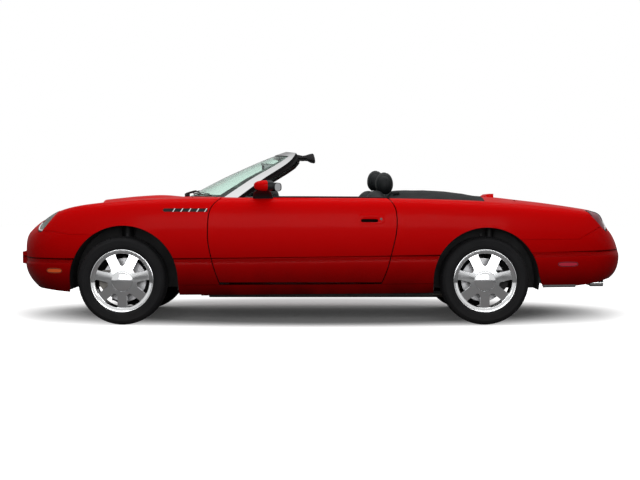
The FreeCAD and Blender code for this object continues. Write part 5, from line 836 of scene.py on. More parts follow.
# Windscreen. A green-tinted laminated pane with a baked black border, bonded into a bright frame of two posts
# and a header. Black seals and inner pillar covers run behind the frame. The tables give how the pane's
# centre line and its posts run back, and how the posts lean in, as shares of their whole run.
CENTRE_SHARES = [
    (0.0, 0.0), (0.15, 0.115), (0.30, 0.248), (0.42, 0.355), (0.55, 0.483), (0.71, 0.648), (0.84, 0.786),
    (0.93, 0.893), (1.0, 1.0),
]
POST_SHARES = [
    (0.0, 0.0), (0.15, 0.155), (0.30, 0.315), (0.42, 0.430), (0.55, 0.590), (0.71, 0.790), (0.84, 0.930),
    (0.93, 0.975), (1.0, 1.0),
]
LEAN_SHARES = [
    (0.0, 0.0), (0.15, 0.10), (0.30, 0.21), (0.42, 0.31), (0.55, 0.43), (0.71, 0.60), (0.84, 0.76),
    (0.93, 0.88), (1.0, 1.0),
]
CENTRE_BASE, CENTRE_BACK = (-1.062, 0.966), 0.777
POST_BASE, POST_BACK = (-0.648, 0.944), 0.456
POST_OUT, POST_LEAN = 0.757, 0.169
SCREEN_RISE = 0.356


def read_table(table, x):
    """Straight-line reading of a table of pairs."""
    for (a, va), (b, vb) in zip(table, table[1:]):
        if x <= b:
            return va + (vb - va) * (x - a) / (b - a)
    return table[-1][1]


def screen_at(across, rise, depth):
    """A point of the windscreen: across it (1 and -1 at the posts), up it (0 to 1) and into its depth."""
    out = abs(across)
    centre_x = CENTRE_BASE[0] + CENTRE_BACK * read_table(CENTRE_SHARES, rise)
    centre_z = CENTRE_BASE[1] + SCREEN_RISE * rise
    side_x = POST_BASE[0] + POST_BACK * read_table(POST_SHARES, rise)
    side_z = POST_BASE[1] + SCREEN_RISE * rise
    side_y = POST_OUT - POST_LEAN * read_table(LEAN_SHARES, rise)
    turn = out ** 3
    y = -side_y * out + depth * 0.45 * turn
    return Vector((
        centre_x + (side_x - centre_x) * out ** 2.5 + depth * 0.40,
        y if across >= 0 else -y,
        centre_z + (side_z - centre_z) * out ** 2 - depth * 0.87 * (1 - 0.35 * turn),
    ))


def screen_sheet(bm, across, rises, outer, inner):
    """A closed slab on the windscreen's form, through lists of places across and up it."""
    faces = []
    for depth in (outer, inner):
        faces.append([[bm.verts.new(screen_at(a, r, depth)) for a in across] for r in rises])
    plate(bm, *faces)


def clear_material(name, colour, transmission, ior, change, scale, low, high):
    """A see-through material whose tone and gloss vary with the fine grain."""
    made, tree, shader, _ = new_material(
        name, Colour=(*colour, 1), Change=change, Scale=scale, Low=low, High=high,
    )
    feed(tree, shader, {"Transmission Weight": transmission, "IOR": ior})
    return made


def frame_finish(centre, normal):
    """Bright metal (0) or a black inner side (1), for one face of the windscreen's frame."""
    return 1 if normal.z < -0.25 or normal.x > 0.35 and normal.z < 0.35 else 0


glass = clear_material("green_glass", (0.79, 0.93, 0.87), 1.0, 1.08, 0.02, 60.0, 0.02, 0.05)
dress(glass, "windshield")
dress_faces("windshield_frame", (bright, moulding), frame_finish)

BORDER_DEPTHS = (0.0115, 0.0125)
frit = surface("baked_border", (0.008, 0.009, 0.009), 0.30, 500.0, 0.0001, change=0.1)
bm = bmesh.new()
screen_sheet(bm, spread(-0.885, 0.885, 36), spread(0.90, 0.935, 2), *BORDER_DEPTHS)
screen_sheet(bm, spread(-0.84, 0.84, 36), spread(0.02, 0.085, 3), *BORDER_DEPTHS)
for way in (1, -1):
    screen_sheet(bm, spread(0.80 * way, 0.89 * way, 4), spread(0.02, 0.92, 24), *BORDER_DEPTHS)
put(bm, "screen_border", frit, "root")

seal_rubber = surface("seal_rubber", (0.010, 0.010, 0.011), 0.55, 600.0, 0.0003, change=0.2)
bm = bmesh.new()
for way in (1, -1):
    screen_sheet(bm, spread(0.885 * way, 0.985 * way, 4), spread(0.03, 0.985, 30), 0.031, 0.052)
    screen_sheet(bm, spread(0.90 * way, 0.955 * way, 3), spread(0.03, 0.97, 30), 0.0525, 0.074)
screen_sheet(bm, spread(-0.90, 0.90, 40), spread(0.93, 0.985, 3), 0.031, 0.050)
put(bm, "pillar_covers", seal_rubber, "root")

# Defroster cover. A black moulding fills the corner between the glass and the dash, up to the pillars, and
# carries the air slots. Each row runs from the glass over its brow to its rear lip and back underneath.
bm = bmesh.new()
rows = []
for a in spread(-0.95, 0.95, 40):
    front = screen_at(a, 0.015, 0.016)
    brow = screen_at(a, 0.040 + 0.075 * abs(a) ** 2, 0.018)
    rear = Vector((-0.600 + 0.03 * abs(a), front.y * 0.97, 0.935))
    crown = (brow + rear) / 2 + Vector((0, 0, 0.012))
    lip = rear + Vector((0.020, 0, -0.025))
    under = Vector((front.x + 0.03, front.y * 0.97, 0.915))
    rows.append([bm.verts.new(p) for p in (front, brow, crown, rear, lip, under)])
barrel(bm, rows)
put(bm, "defroster_cover", moulding, "root")

# Wipers. Two pressed black arms on spindles at the middle of the cowl, with their blades laid outwards along
# the foot of the glass. Their points are places across and up the glass.
BLADE_RUN = ((0.16, 0.060), (0.30, 0.060), (0.45, 0.056), (0.60, 0.050), (0.74, 0.046))
ARM_RUN = ((0.30, 0.085, -0.018), (0.45, 0.070, -0.018), (0.55, 0.060, -0.012))


def smooth_path(points, steps=6):
    """A smooth curve through the given points."""
    points = [Vector(p) for p in points]
    out = []
    for k, (a, b) in enumerate(zip(points, points[1:])):
        before = points[max(k - 1, 0)]
        after = points[min(k + 2, len(points) - 1)]
        square = 2 * before - 5 * a + 4 * b - after
        cube = 3 * a - before - 3 * b + after
        for j in range(steps):
            t = j / steps
            out.append(0.5 * (2 * a + (b - before) * t + square * t ** 2 + cube * t ** 3))
    return [*out, points[-1]]


bm = bmesh.new()
for way in (1, -1):
    foot = screen_at(0.14 * way, 0.0, -0.004) + Vector((-0.022, 0, 0))
    top = foot + Vector((0, 0, 0.020))
    tube(bm, [foot - Vector((0, 0, 0.022)), top], 0.011, 20)
    knee = top + Vector((0.020, -0.03 * way, 0.006))
    tube(bm, smooth_path([top, knee, *(screen_at(a * way, r, lift) for a, r, lift in ARM_RUN)]), 0.0050, 8)
    tube(bm, smooth_path([screen_at(a * way, r, -0.006) for a, r in BLADE_RUN]), 0.0045, 6)
put(bm, "wipers", moulding, "root")

# Inside mirror. A black moulded housing holds a silvered glass; it hangs on a short stem from the top of the
# windscreen, turned towards the driver.
MIRROR_HOUSING = ((-0.445, -0.119, 1.179), (-0.4235, 0.119, 1.233))
MIRROR_SILVER = ((-0.4238, -0.112, 1.185), (-0.4224, 0.112, 1.227))
MIRROR_TURN = math.radians(-16)
middle = Matrix.Translation((-0.435, 0, 1.206))
turned_to_driver = middle @ Matrix.Rotation(MIRROR_TURN, 4, "Z") @ middle.inverted()
bm = bmesh.new()
box_mesh(bm, *MIRROR_HOUSING, 0.008, 3)
stem_top = screen_at(0.0, 0.80, 0.012)
tube(bm, [(-0.436, 0, 1.228), stem_top - Vector((0.006, 0, 0.012)), stem_top], 0.008, 14)
housing = put(bm, "inside_mirror_shell", moulding, "root", turned_to_driver)
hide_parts("inside_mirror")
bm = bmesh.new()
box_mesh(bm, *MIRROR_SILVER, 0.0006, 1)
put(bm, "inside_mirror_glass", mirror_silver, "root", turned_to_driver)

# Sun visors. Two padded boards in flat black cloth, hinged on the header and left half open. Their section is
# an outline in the side view, drawn in at both ends.
VISOR_LINE = [
    (-0.236, 1.293), (-0.180, 1.288), (-0.141, 1.280), (-0.118, 1.284), (-0.090, 1.293), (-0.066, 1.298),
    (-0.056, 1.290), (-0.048, 1.262), (-0.050, 1.248), (-0.060, 1.243), (-0.085, 1.248), (-0.110, 1.262),
    (-0.135, 1.264), (-0.160, 1.262), (-0.200, 1.268), (-0.232, 1.280),
]
VISOR_MIDDLE = (-0.145, 1.270)
VISOR_STATIONS = ((0.112, 0.90), (0.116, 0.97), (0.126, 1.0), (0.504, 1.0), (0.514, 0.97), (0.518, 0.90))
visor_cloth = surface("visor_cloth", (0.050, 0.050, 0.052), 0.85, 900.0, 0.0004, change=0.3, specular=0.2)
for side, way in SIDES:
    bm = bmesh.new()
    stacked(bm, VISOR_LINE, VISOR_MIDDLE, VISOR_STATIONS, way)
    pad = put(bm, f"sun_visor_{side}", visor_cloth, "root", smooth=50)
    if side == "left":
        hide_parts("visors")

# Dashboard. A grained black top pad over a dark charcoal face, with a plain instrument hood. Its dials are
# black discs with pale marks and a needle, behind bright rings.
DIALS = ((-0.460, 0.845, 0.058), (-0.330, 0.845, 0.058), (-0.395, 0.905, 0.020), (-0.240, 0.835, 0.030))
MARK_R, NEEDLE_R = 0.0008, 0.0010
NEEDLE_TURN = math.radians(-100)
dash_black = surface("dash_black", (0.017, 0.017, 0.018), 0.60, 480.0, 0.0004, change=0.25, specular=0.3)
dash_face = surface("dash_face", (0.045, 0.045, 0.048), 0.52, 480.0, 0.0003, change=0.2, specular=0.35)
dial_face = surface("dial_face", (0.010, 0.010, 0.012), 0.35, 300.0, 0.00005, change=0.1)
dial_mark = surface("dial_mark", (0.62, 0.62, 0.58), 0.45, 300.0, 0.00005, change=0.05)


def dash_finish(centre, normal):
    """The grained pad (0) or the instrument face (1), for one face of the dashboard."""
    return 1 if normal.x > 0.5 and centre.x > -0.60 and centre.z < 0.88 else 0


def around_x(centre, radius, turn):
    """A point at one radius and turn from the top, about an axis along the car."""
    return Vector(centre) + Vector((0, radius * math.sin(turn), radius * math.cos(turn)))


def turned_x(bm, profile, y, z, segments=48):
    """A (radius, x) outline spun about the axis along the car at one place across and up it."""
    turns = round_turns(segments)
    barrel(bm, [[bm.verts.new(around_x((x, y, z), radius, a)) for a in turns] for radius, x in profile])


def dash_front(y, z):
    """How far back the dashboard's face reaches at one place across and up it."""
    return hit("dashboard", (0.5, y, z), (-1, 0, 0)).x


dress_faces("dashboard", (dash_black, dash_face), dash_finish)
faces, rings, marks = bmesh.new(), bmesh.new(), bmesh.new()
for y, z, radius in DIALS:
    front = dash_front(y, z)
    disc_line = [(radius, front - 0.002), (radius, front + 0.0012), (radius * 0.98, front + 0.0016)]
    ring_line = [
        (radius + 0.004, front - 0.001), (radius + 0.0035, front + 0.006), (radius, front + 0.0055),
        (radius - 0.0005, front - 0.001),
    ]
    turned_x(faces, disc_line, y, z)
    turned_x(rings, ring_line, y, z)
    mark_layer, needle_layer = Vector((front + 0.0022, y, z)), Vector((front + 0.0030, y, z))
    for turn in map(math.radians, range(-120, 121, 30)):
        tube(marks, [around_x(mark_layer, radius * share, turn) for share in (0.78, 0.92)], MARK_R, 4)
    tube(marks, [needle_layer, around_x(needle_layer, radius * 0.72, NEEDLE_TURN)], NEEDLE_R, 4)
put(faces, "dial_faces", dial_face, "root")
put(rings, "dial_rings", bright, "root")
put(marks, "dial_marks", dial_mark, "root")

# Air vents. Round brushed rings are pressed into the dash face. Each holds five moulded cross vanes, strung
# on one upright.
VENTS = ((-0.620, 0.835), (-0.075, 0.845), (0.075, 0.845), (0.620, 0.835))
VENT_R = 0.035
VANE_PITCH = 0.012
VANE_R = 0.0022
brushed = surface("brushed_metal", (0.56, 0.565, 0.57), 0.30, 700.0, 0.00005, metallic=1.0, change=0.1)
rings, vanes = bmesh.new(), bmesh.new()
for y, z in VENTS:
    front = dash_front(y, z)
    lines = [(0.044, front - 0.002), (0.043, front + 0.007), (0.036, front + 0.006), (VENT_R, front - 0.002)]
    turned_x(rings, lines, y, z)
    for k in range(-2, 3):
        vane_z = z + k * VANE_PITCH
        reach = math.sqrt(VENT_R ** 2 - (k * VANE_PITCH) ** 2)
        tube(vanes, [(front + 0.002, y - reach, vane_z), (front + 0.002, y + reach, vane_z)], VANE_R, 6)
    tube(vanes, [(front + 0.003, y, z - 0.034), (front + 0.003, y, z + 0.034)], VANE_R, 6)
put(rings, "vent_rings", brushed, "root")
put(vanes, "vent_vanes", dash_black, "root")

# Radio and heater panel, and the glovebox. A brushed plate carries moulded knobs, ten keys and a blank
# display; the glovebox lid is a moulded flap with a finger pull. Each knob row is its place and radius.
KNOBS = (
    (-0.070, 0.775, 0.011), (0.070, 0.775, 0.011), (-0.058, 0.697, 0.016), (0.0, 0.697, 0.016),
    (0.058, 0.697, 0.016),
)
KEY_ROWS_Z, KEY_HALF, KEY_TALL = (0.728, 0.746), 0.008, 0.012
panel, knobs = bmesh.new(), bmesh.new()
front = dash_front(0.0, 0.74)
box_mesh(panel, (front - 0.004, -0.092, 0.672), (front + 0.004, 0.092, 0.796), 0.003)
for y, z, radius in KNOBS:
    section = [(radius, front + 0.003), (radius * 0.96, front + 0.014), (radius * 0.80, front + 0.016)]
    turned_x(knobs, section, y, z, 32)
for z in KEY_ROWS_Z:
    for y in spread(-0.040, 0.040, 4):
        box_mesh(knobs, (front + 0.003, y - KEY_HALF, z), (front + 0.0065, y + KEY_HALF, z + KEY_TALL), 0.001)
box_mesh(knobs, (front + 0.003, -0.050, 0.766), (front + 0.0055, 0.050, 0.786), 0.001)
put(panel, "radio_panel", brushed, "root")
put(knobs, "radio_knobs", dash_black, "root")
bm = bmesh.new()
front = dash_front(0.37, 0.72)
box_mesh(bm, (front - 0.002, 0.190, 0.672), (front + 0.005, 0.560, 0.790), 0.006, 3)
box_mesh(bm, (front + 0.004, 0.345, 0.768), (front + 0.009, 0.405, 0.778), 0.003, 2)
put(bm, "glovebox_lid", dash_face, "root")

# Console fittings. A brushed plate is screwed round the shift lever, whose leather boot is gathered in folds
# under a metal knob.
PLATE_TOP_Z = 0.5655
BOOT_FOOT_Z, BOOT_TALL = 0.5640, 0.068
leather = surface("black_leather", (0.012, 0.014, 0.015), 0.50, 420.0, 0.0006, change=0.3, specular=0.16)
bm = bmesh.new()
box_mesh(bm, (-0.44, -0.070, 0.559), (-0.12, 0.070, PLATE_TOP_Z), 0.003)
put(bm, "shift_plate", brushed, "root")
bm = bmesh.new()
rows = []
for share in spread(0, 1, 7):
    reach = 0.040 * (1 - share) ** 0.8 + 0.011 + 0.003 * math.sin(share * 20)
    x, z = -0.30 + 0.02 * share, BOOT_FOOT_Z + BOOT_TALL * share
    fold = [(x + reach * 1.2 * math.cos(a), reach * math.sin(a), z) for a in round_turns(28)]
    rows.append([bm.verts.new(spot) for spot in fold])
barrel(bm, rows)
put(bm, "shift_boot", leather, "root", smooth=70)
bm = bmesh.new()
tube(bm, [(-0.282, 0, 0.628), (-0.270, 0, 0.690)], 0.006, 14)
knob = Matrix.Translation((-0.266, 0, 0.712)) @ Matrix.Diagonal((0.9, 0.9, 1.25, 1))
bmesh.ops.create_uvsphere(bm, u_segments=28, v_segments=18, radius=0.024, matrix=knob)
put(bm, "shift_lever", brushed, "root", smooth=60)

# Carpets. Cut-pile black carpet on a thin felt underlay. It is laid on the floor of each footwell, fitted to
# the pressing under it.
CARPET_X, CARPET_Y = (-0.735, -0.160), (0.175, 0.605)
CARPET_THICK = 0.009
UNDERLAY = 0.004
carpet = surface("black_carpet", (0.016, 0.016, 0.017), 0.95, 1100.0, 0.003, change=0.45, specular=0.1)
low_floor = drop("floor_pan", -0.45, 0.37)
for side, way in SIDES:
    bm = bmesh.new()
    rows = []
    for x in spread(*CARPET_X, 24):
        row = []
        for y in spread(*CARPET_Y, 16):
            floor_z = drop("floor_pan", x, way * y)
            if floor_z is None or floor_z > low_floor + 0.02:
                floor_z = low_floor
            row.append(bm.verts.new((x, way * y, floor_z + UNDERLAY)))
        rows.append(row)
    plate(bm, rows, [[bm.verts.new(v.co + Vector((0, 0, CARPET_THICK))) for v in row] for row in rows])
    put(bm, f"carpet_{side}", carpet, "root")

# Pedals. Two rubber-faced pads on steel arms that hang in the driver's footwell. Each row is a pad's place
# across, its half width and its place along the car.
bm = bmesh.new()
for y, half, x in ((-0.33, 0.075, -0.640), (-0.24, 0.045, -0.660)):
    box_mesh(bm, (x - 0.006, y - half, low_floor + 0.13), (x + 0.006, y + half, low_floor + 0.19), 0.003)
    arm = [(x - 0.005, y, low_floor + 0.17), (x - 0.05, y, 0.52), (x - 0.07, y, 0.66)]
    tube(bm, smooth_path(arm, 5), 0.008, 8)
put(bm, "pedals", moulding, "root")

# Steering wheel. A stitched leather rim on a bright-spoked cast frame, with a grained cover clipped over the
# boss. The column leans back, so its parts are made round the wheel's own axis.
WHEEL_AT = (-0.345, -0.370, 0.845)
COLUMN_LEAN = math.radians(25)
LEAN_SIN, LEAN_COS = 0.423, 0.906
RIM_INNER_R, BOSS_R = 0.166, 0.070
STITCH_COUNT, STITCH_R, STITCH_HALF, STITCH_SLANT, THREAD_R = 96, 0.1705, 0.0026, 0.002, 0.0008
BOSS_HALF_Y, BOSS_HALF_Z, BOSS_DROP = 0.064, 0.054, 0.004
BOSS_STEPS = ((1.0, 0.010), (1.0, 0.020), (0.94, 0.028), (0.80, 0.032))


def wheel_finish(centre, normal):
    """Leather (0), bright spokes (1) or the boss (2), for one face of the steering wheel."""
    local = centre - Vector(WHEEL_AT)
    reach = math.hypot(local.y, local.z * LEAN_COS - local.x * LEAN_SIN)
    return 0 if reach > RIM_INNER_R else 1 if reach > BOSS_R else 2


dress_faces("steering_wheel", (leather, brushed, dash_black), wheel_finish)
wheel_at = Matrix.Translation(WHEEL_AT) @ Matrix.Rotation(-COLUMN_LEAN, 4, "Y")
bm = bmesh.new()
rows = []
for grow, x in BOSS_STEPS:
    row = []
    for up, across in (squircle(turn, 4) for turn in round_turns(48)):
        row.append(bm.verts.new((x, BOSS_HALF_Y * grow * across, BOSS_HALF_Z * grow * up - BOSS_DROP)))
    rows.append(row)
barrel(bm, rows)
put(bm, "boss_cover", dash_black, "steering_wheel", wheel_at, smooth=50)
stitch = surface("grey_thread", (0.10, 0.10, 0.105), 0.8, 900.0, 0.0002)
bm = bmesh.new()
tube(bm, [(-STITCH_HALF, -STITCH_SLANT, STITCH_R), (STITCH_HALF, STITCH_SLANT, STITCH_R)], THREAD_R, 4)
stitches = ring_mesh(finished(bm, "stitch"), STITCH_COUNT, stitch)
bm = bmesh.new()
bm.from_mesh(stitches)
onto_column = wheel_at @ Matrix.Rotation(math.pi / 2, 4, "Z")
put(bm, "rim_stitching", stitch, "steering_wheel", onto_column)

# Seat pads. Foam cushions, backs and headrests under black leather. A cloth simulation blows each one up, so
# it crowns between its corners, and its sewn channels are pressed in afterwards. Seams are places along or up
# a pad.
PAD_PLACES = [-0.222, -0.212, -0.190, -0.160, -0.138, -0.10, 0.0, 0.10, 0.138, 0.160, 0.190, 0.212, 0.222]
BOLSTER_FROM, BOLSTER_WIDE = 0.138, 0.084
BACK_TOP_Z = 1.020
SEAM_OUT = 0.142
CUSHION_SEAMS = (-0.055, 0.0, 0.055, 0.110, 0.165)
BACK_SEAMS = (0.60, 0.66, 0.72, 0.78, 0.84, 0.90)
SEAM_SIZE, SIDE_SEAM_SIZE, PIPING_SIZE = (0.0055, 0.006), (0.006, 0.007), (0.004, 0.004)
PAD_VOXEL, PAD_PRESSURE, PAD_REACH = 0.0085, 3.0, 0.012
HEADREST_VOXEL, HEADREST_PRESSURE, HEADREST_REACH = 0.0055, 4.0, 0.004
HEADREST_AT, HEADREST_HALVES = (0.494, 0.0, 1.066), (0.0700, 0.118, 0.0880)
CLOTH_FRAMES = 15


def stuffed(bm, name, voxel, pressure, reach):
    """A padded form: remeshed, blown up by cloth pressure, then kept within reach of its cut."""
    bmesh.ops.recalc_face_normals(bm, faces=bm.faces)
    mesh = bpy.data.meshes.new(name)
    bm.to_mesh(mesh)
    bm.free()
    holder = bpy.data.objects.new(name, mesh)
    bpy.context.scene.collection.objects.link(holder)
    remesh = holder.modifiers.new("remesh", "REMESH")
    remesh.mode = "VOXEL"
    remesh.voxel_size = voxel
    graph = bpy.context.evaluated_depsgraph_get()
    cut = bpy.data.meshes.new_from_object(holder.evaluated_get(graph), depsgraph=graph)
    holder.modifiers.clear()
    holder.data = cut
    before = [v.co.copy() for v in cut.vertices]
    cloth = holder.modifiers.new("cloth", "CLOTH")
    cloth.settings.use_pressure = True
    cloth.settings.uniform_pressure_force = pressure
    cloth.settings.effector_weights.gravity = 0.0
    cloth.settings.quality = 4
    for frame_number in range(1, CLOTH_FRAMES + 1):
        bpy.context.scene.frame_set(frame_number)
    graph = bpy.context.evaluated_depsgraph_get()
    blown = bpy.data.meshes.new_from_object(holder.evaluated_get(graph), depsgraph=graph)
    for v, start in zip(blown.vertices, before):
        moved = v.co - start
        v.co = start + moved * min(1.0, reach / max(moved.length, 1e-6))
    holder.modifiers.clear()
    bpy.context.scene.frame_set(1)
    cut = blown
    bpy.data.objects.remove(holder)
    return cut


def softened(mesh, passes=2):
    """Evens out the steps that a remesh leaves."""
    bm = bmesh.new()
    bm.from_mesh(mesh)
    for _ in range(passes):
        bmesh.ops.smooth_vert(
            bm, verts=bm.verts, factor=0.5, use_axis_x=True, use_axis_y=True, use_axis_z=True,
        )
    bm.to_mesh(mesh)
    bm.free()
    return mesh


def groove(distance, width, depth):
    """How deep a rounded channel is at one distance from its middle line."""
    return depth * math.exp(-(distance / width) ** 2)


def sewn(mesh, channel):
    """Presses sewn channels into a pad: channel gives their depth at a point."""
    mesh.update()
    moves = [v.normal * -channel(v.co) for v in mesh.vertices]
    for v, move in zip(mesh.vertices, moves):
        v.co += move
    for face in mesh.polygons:
        face.use_smooth = True
    mesh.materials.clear()
    mesh.materials.append(leather)
    return mesh


def bolster(y, rise, steepness):
    """How far into the side bolster one place across lies (0 to 1), and how much it stands up there."""
    side = max(abs(y) - BOLSTER_FROM, 0.0) / BOLSTER_WIDE
    return side, rise * math.sin(min(side * steepness, 1.0) * math.pi) if side else 0.0


def cushion_outline(y):
    """The cushion's outline in the side view at one place across it."""
    side, raised = bolster(y, 0.030, 1.5)
    pull = 0.018 * max(side - 0.6, 0.0) / 0.4
    crown = raised - pull
    return [
        (-0.112 + pull, 0.345), (-0.122 + pull, 0.400), (-0.116 + pull, 0.455),
        (-0.092 + pull, 0.490 + raised * 0.4 - pull), (-0.02, 0.500 + crown), (0.10, 0.484 + crown),
        (0.22, 0.468 + crown), (0.27, 0.462 + crown), (0.285, 0.40), (0.28, 0.345),
    ]


def back_outline(y):
    """The back's outline in the side view at one place across it."""
    _, forward = bolster(y, 0.026, 1.4)
    drop_top = 0.060 * max((abs(y) - 0.10) / 0.122, 0.0) ** 2.2
    top = BACK_TOP_Z - drop_top
    return [
        (0.262 - forward, 0.475), (0.283 - forward, 0.58), (0.312 - forward, 0.70),
        (0.330 - forward * 0.9, 0.82), (0.350 - forward * 0.6, 0.92 - drop_top * 0.5),
        (0.376 - forward * 0.2, top - 0.024), (0.412, top - 0.001), (0.466, top - 0.004),
        (0.490, top - 0.028), (0.482, 0.86), (0.458, 0.72), (0.430, 0.58), (0.405, 0.475),
    ]


def panel_channels(out, along, seams, side_seam, cross_seams):
    """Depth of the seam beside a pad's bolster and of the seams that cross its middle panel."""
    depth = groove(out - SEAM_OUT, *SIDE_SEAM_SIZE) if side_seam else 0.0
    if out < SEAM_OUT and cross_seams:
        depth += sum(groove(along - seam, *SEAM_SIZE) for seam in seams)
    return depth


def cushion_channel(p):
    """Channel depth at a point of the cushion."""
    above = p.z > 0.42
    return panel_channels(abs(p.y), p.x, CUSHION_SEAMS, above, above) + groove(p.z - 0.405, *PIPING_SIZE)


def back_channel(p):
    """Channel depth at a point of the back."""
    front = p.x < 0.36 + (p.z - 0.9) * 0.5
    piping = groove(p.x - (0.447 + (p.z - 0.75) * 0.12), 0.0045, 0.004)
    return panel_channels(abs(p.y), p.z, BACK_SEAMS, front and p.z < 0.95, front) + piping


def headrest_channel(p):
    """Channel depth at a point of the headrest."""
    return groove(abs(p.y) - 0.088, *PIPING_SIZE) + groove(p.x - 0.512, 0.004, 0.003)


pads = []
for name, outline, channel in (
    ("cushion", cushion_outline, cushion_channel), ("back", back_outline, back_channel),
):
    bm = bmesh.new()
    barrel(bm, [[bm.verts.new((x, y, z)) for x, z in outline(y)] for y in PAD_PLACES])
    pads.append(sewn(softened(stuffed(bm, name, PAD_VOXEL, PAD_PRESSURE, PAD_REACH)), channel))
bm = bmesh.new()
for v in bmesh.ops.create_uvsphere(bm, u_segments=48, v_segments=32, radius=1.0)["verts"]:
    square = (abs(v.co.x) ** 2.1 + abs(v.co.y) ** 2.6 + abs(v.co.z) ** 2.1) ** -0.43
    taper = 1.0 - 0.06 * v.co.z
    grown = zip(v.co, HEADREST_HALVES, (taper, taper, 1.0))
    v.co = Vector(HEADREST_AT) + square * Vector([place * half * narrowed for place, half, narrowed in grown])
headrest = stuffed(bm, "headrest", HEADREST_VOXEL, HEADREST_PRESSURE, HEADREST_REACH)
pads.append(sewn(softened(headrest), headrest_channel))

# Seats in place. Each seat has its own copy of the three pads. They are clipped to a moulded frame on two
# floor rails, and the headrest stands on two bright stems. The right seat is set further forward, its
# headrest higher.
SEAT_Y = 0.370
SEATS = (("left", -1, 0.0, 0.0), ("right", 1, -0.038, 0.026))
STEM_Y, STEM_R = 0.05, 0.0060
satin = surface("satin_steel", (0.62, 0.62, 0.63), 0.22, 700.0, 0.00004, metallic=1.0, change=0.05)
shell_plastic = surface("seat_plastic", (0.018, 0.018, 0.019), 0.55, 500.0, 0.0004, change=0.2)
for side, way, shift, lift in SEATS:
    at = Matrix.Translation((shift, SEAT_Y * way, 0.0))
    raised = Matrix.Translation((shift, SEAT_Y * way, lift))
    for name, mesh, into in zip(("seat_cushion", "seat_back", "headrest"), pads, (at, at, raised)):
        pad = piece(f"{name}_{side}", mesh.copy(), "root", into)
        if name == "seat_cushion":
            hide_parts(f"seat_{side}")
    bm = bmesh.new()
    for y in (-STEM_Y, STEM_Y):
        tube(bm, [(0.452, y, 0.955), (0.488, y, 1.045 + lift)], STEM_R, 14)
    put(bm, f"headrest_stems_{side}", satin, "root", at)
    bm = bmesh.new()
    box_mesh(bm, (-0.105, -0.218, 0.262), (0.395, 0.218, 0.352), 0.012, 3)
    for y in (-0.217, 0.217):
        box_mesh(bm, (0.150, y - 0.011, 0.300), (0.398, y + 0.011, 0.455), 0.010, 3)
    for y in (-0.17, 0.17):
        box_mesh(bm, (-0.09, y - 0.018, 0.237), (0.38, y + 0.018, 0.264), 0.003)
    put(bm, f"seat_frame_{side}", shell_plastic, "root", at)

# Seat belts. Woven straps hang from a moulded guide behind each seat's outer shoulder, and are bolted down at
# an anchor on the floor.
STRAP_PLACES = (-0.023, -0.012, 0.0, 0.012, 0.023)
STRAP_RUN = [
    (0.575, 0.600, 0.985), (0.560, 0.612, 0.86), (0.540, 0.622, 0.62), (0.520, 0.632, 0.38),
    (0.515, 0.636, 0.262),
]
STRAP_THICK = 0.0014
webbing = surface("belt_webbing", (0.022, 0.022, 0.023), 0.8, 1500.0, 0.0008, change=0.4, specular=0.2)
for side, way in SIDES:
    path = smooth_path(STRAP_RUN, 8)
    bm = bmesh.new()
    rows = []
    for k, p in enumerate(path):
        bow = 0.004 * math.sin(k * 0.55)
        strap = [(p.x + bow + w * 0.30, way * (p.y - w * 0.954), p.z) for w in STRAP_PLACES]
        rows.append([bm.verts.new(spot) for spot in strap])
    grid_faces(bm, rows)
    belt = put(bm, f"seat_belt_{side}", webbing, "root")
    belt.modifiers.new("thick", "SOLIDIFY").thickness = STRAP_THICK
    bm = bmesh.new()
    box_mesh(bm, (0.545, way * 0.575, 0.985), (0.600, way * 0.628, 1.003), 0.004)
    tube(bm, [(0.575, way * 0.600, 0.900), (0.578, way * 0.600, 0.992)], 0.007, 10)
    put(bm, f"belt_guide_{side}", moulding, "root")

# Boot cover. One sheet of black vinyl is stretched from behind the seats to the deck and tucked in at its
# edges. It sags a little between the bows of the folded top, and puckers at the press studs that hold it.
COVER_RISE = [
    (0.0, 0.25), (0.02, 0.60), (0.06, 0.90), (0.12, 1.0), (0.42, 1.0), (0.62, 0.90), (0.82, 0.66),
    (0.95, 0.44), (1.0, 0.40),
]
COVER_FOOT_Z = 0.938
COVER_THICK = 0.002
TUCK = 0.030
STUD_SHARES = (0.10, 0.30, 0.50, 0.70, 0.90)
STUD_OUT = 0.97
cover_low, cover_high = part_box("boot_cover")
cover_side = cover_high[1]


def cover_height(share, out):
    """The cover's height at a share of its length and a share of its half width."""
    rise = read_table(COVER_RISE, share) * (1 - out ** 5)
    height = COVER_FOOT_Z + (cover_high[2] - COVER_FOOT_Z) * rise - 0.020 * out ** 4
    sag = 0.0010 * math.sin(share * math.pi * 5) ** 2 * (1 - out ** 4)
    fold = 0.0009 * math.sin(share * 31 + out * 5) * math.sin(out * 9 + share * 3) * (1 - out ** 2)
    pucker = sum(0.0030 * math.exp(-((share - stud) / 0.018) ** 2) * out ** 12 for stud in STUD_SHARES)
    return height - sag + fold - pucker - COVER_THICK


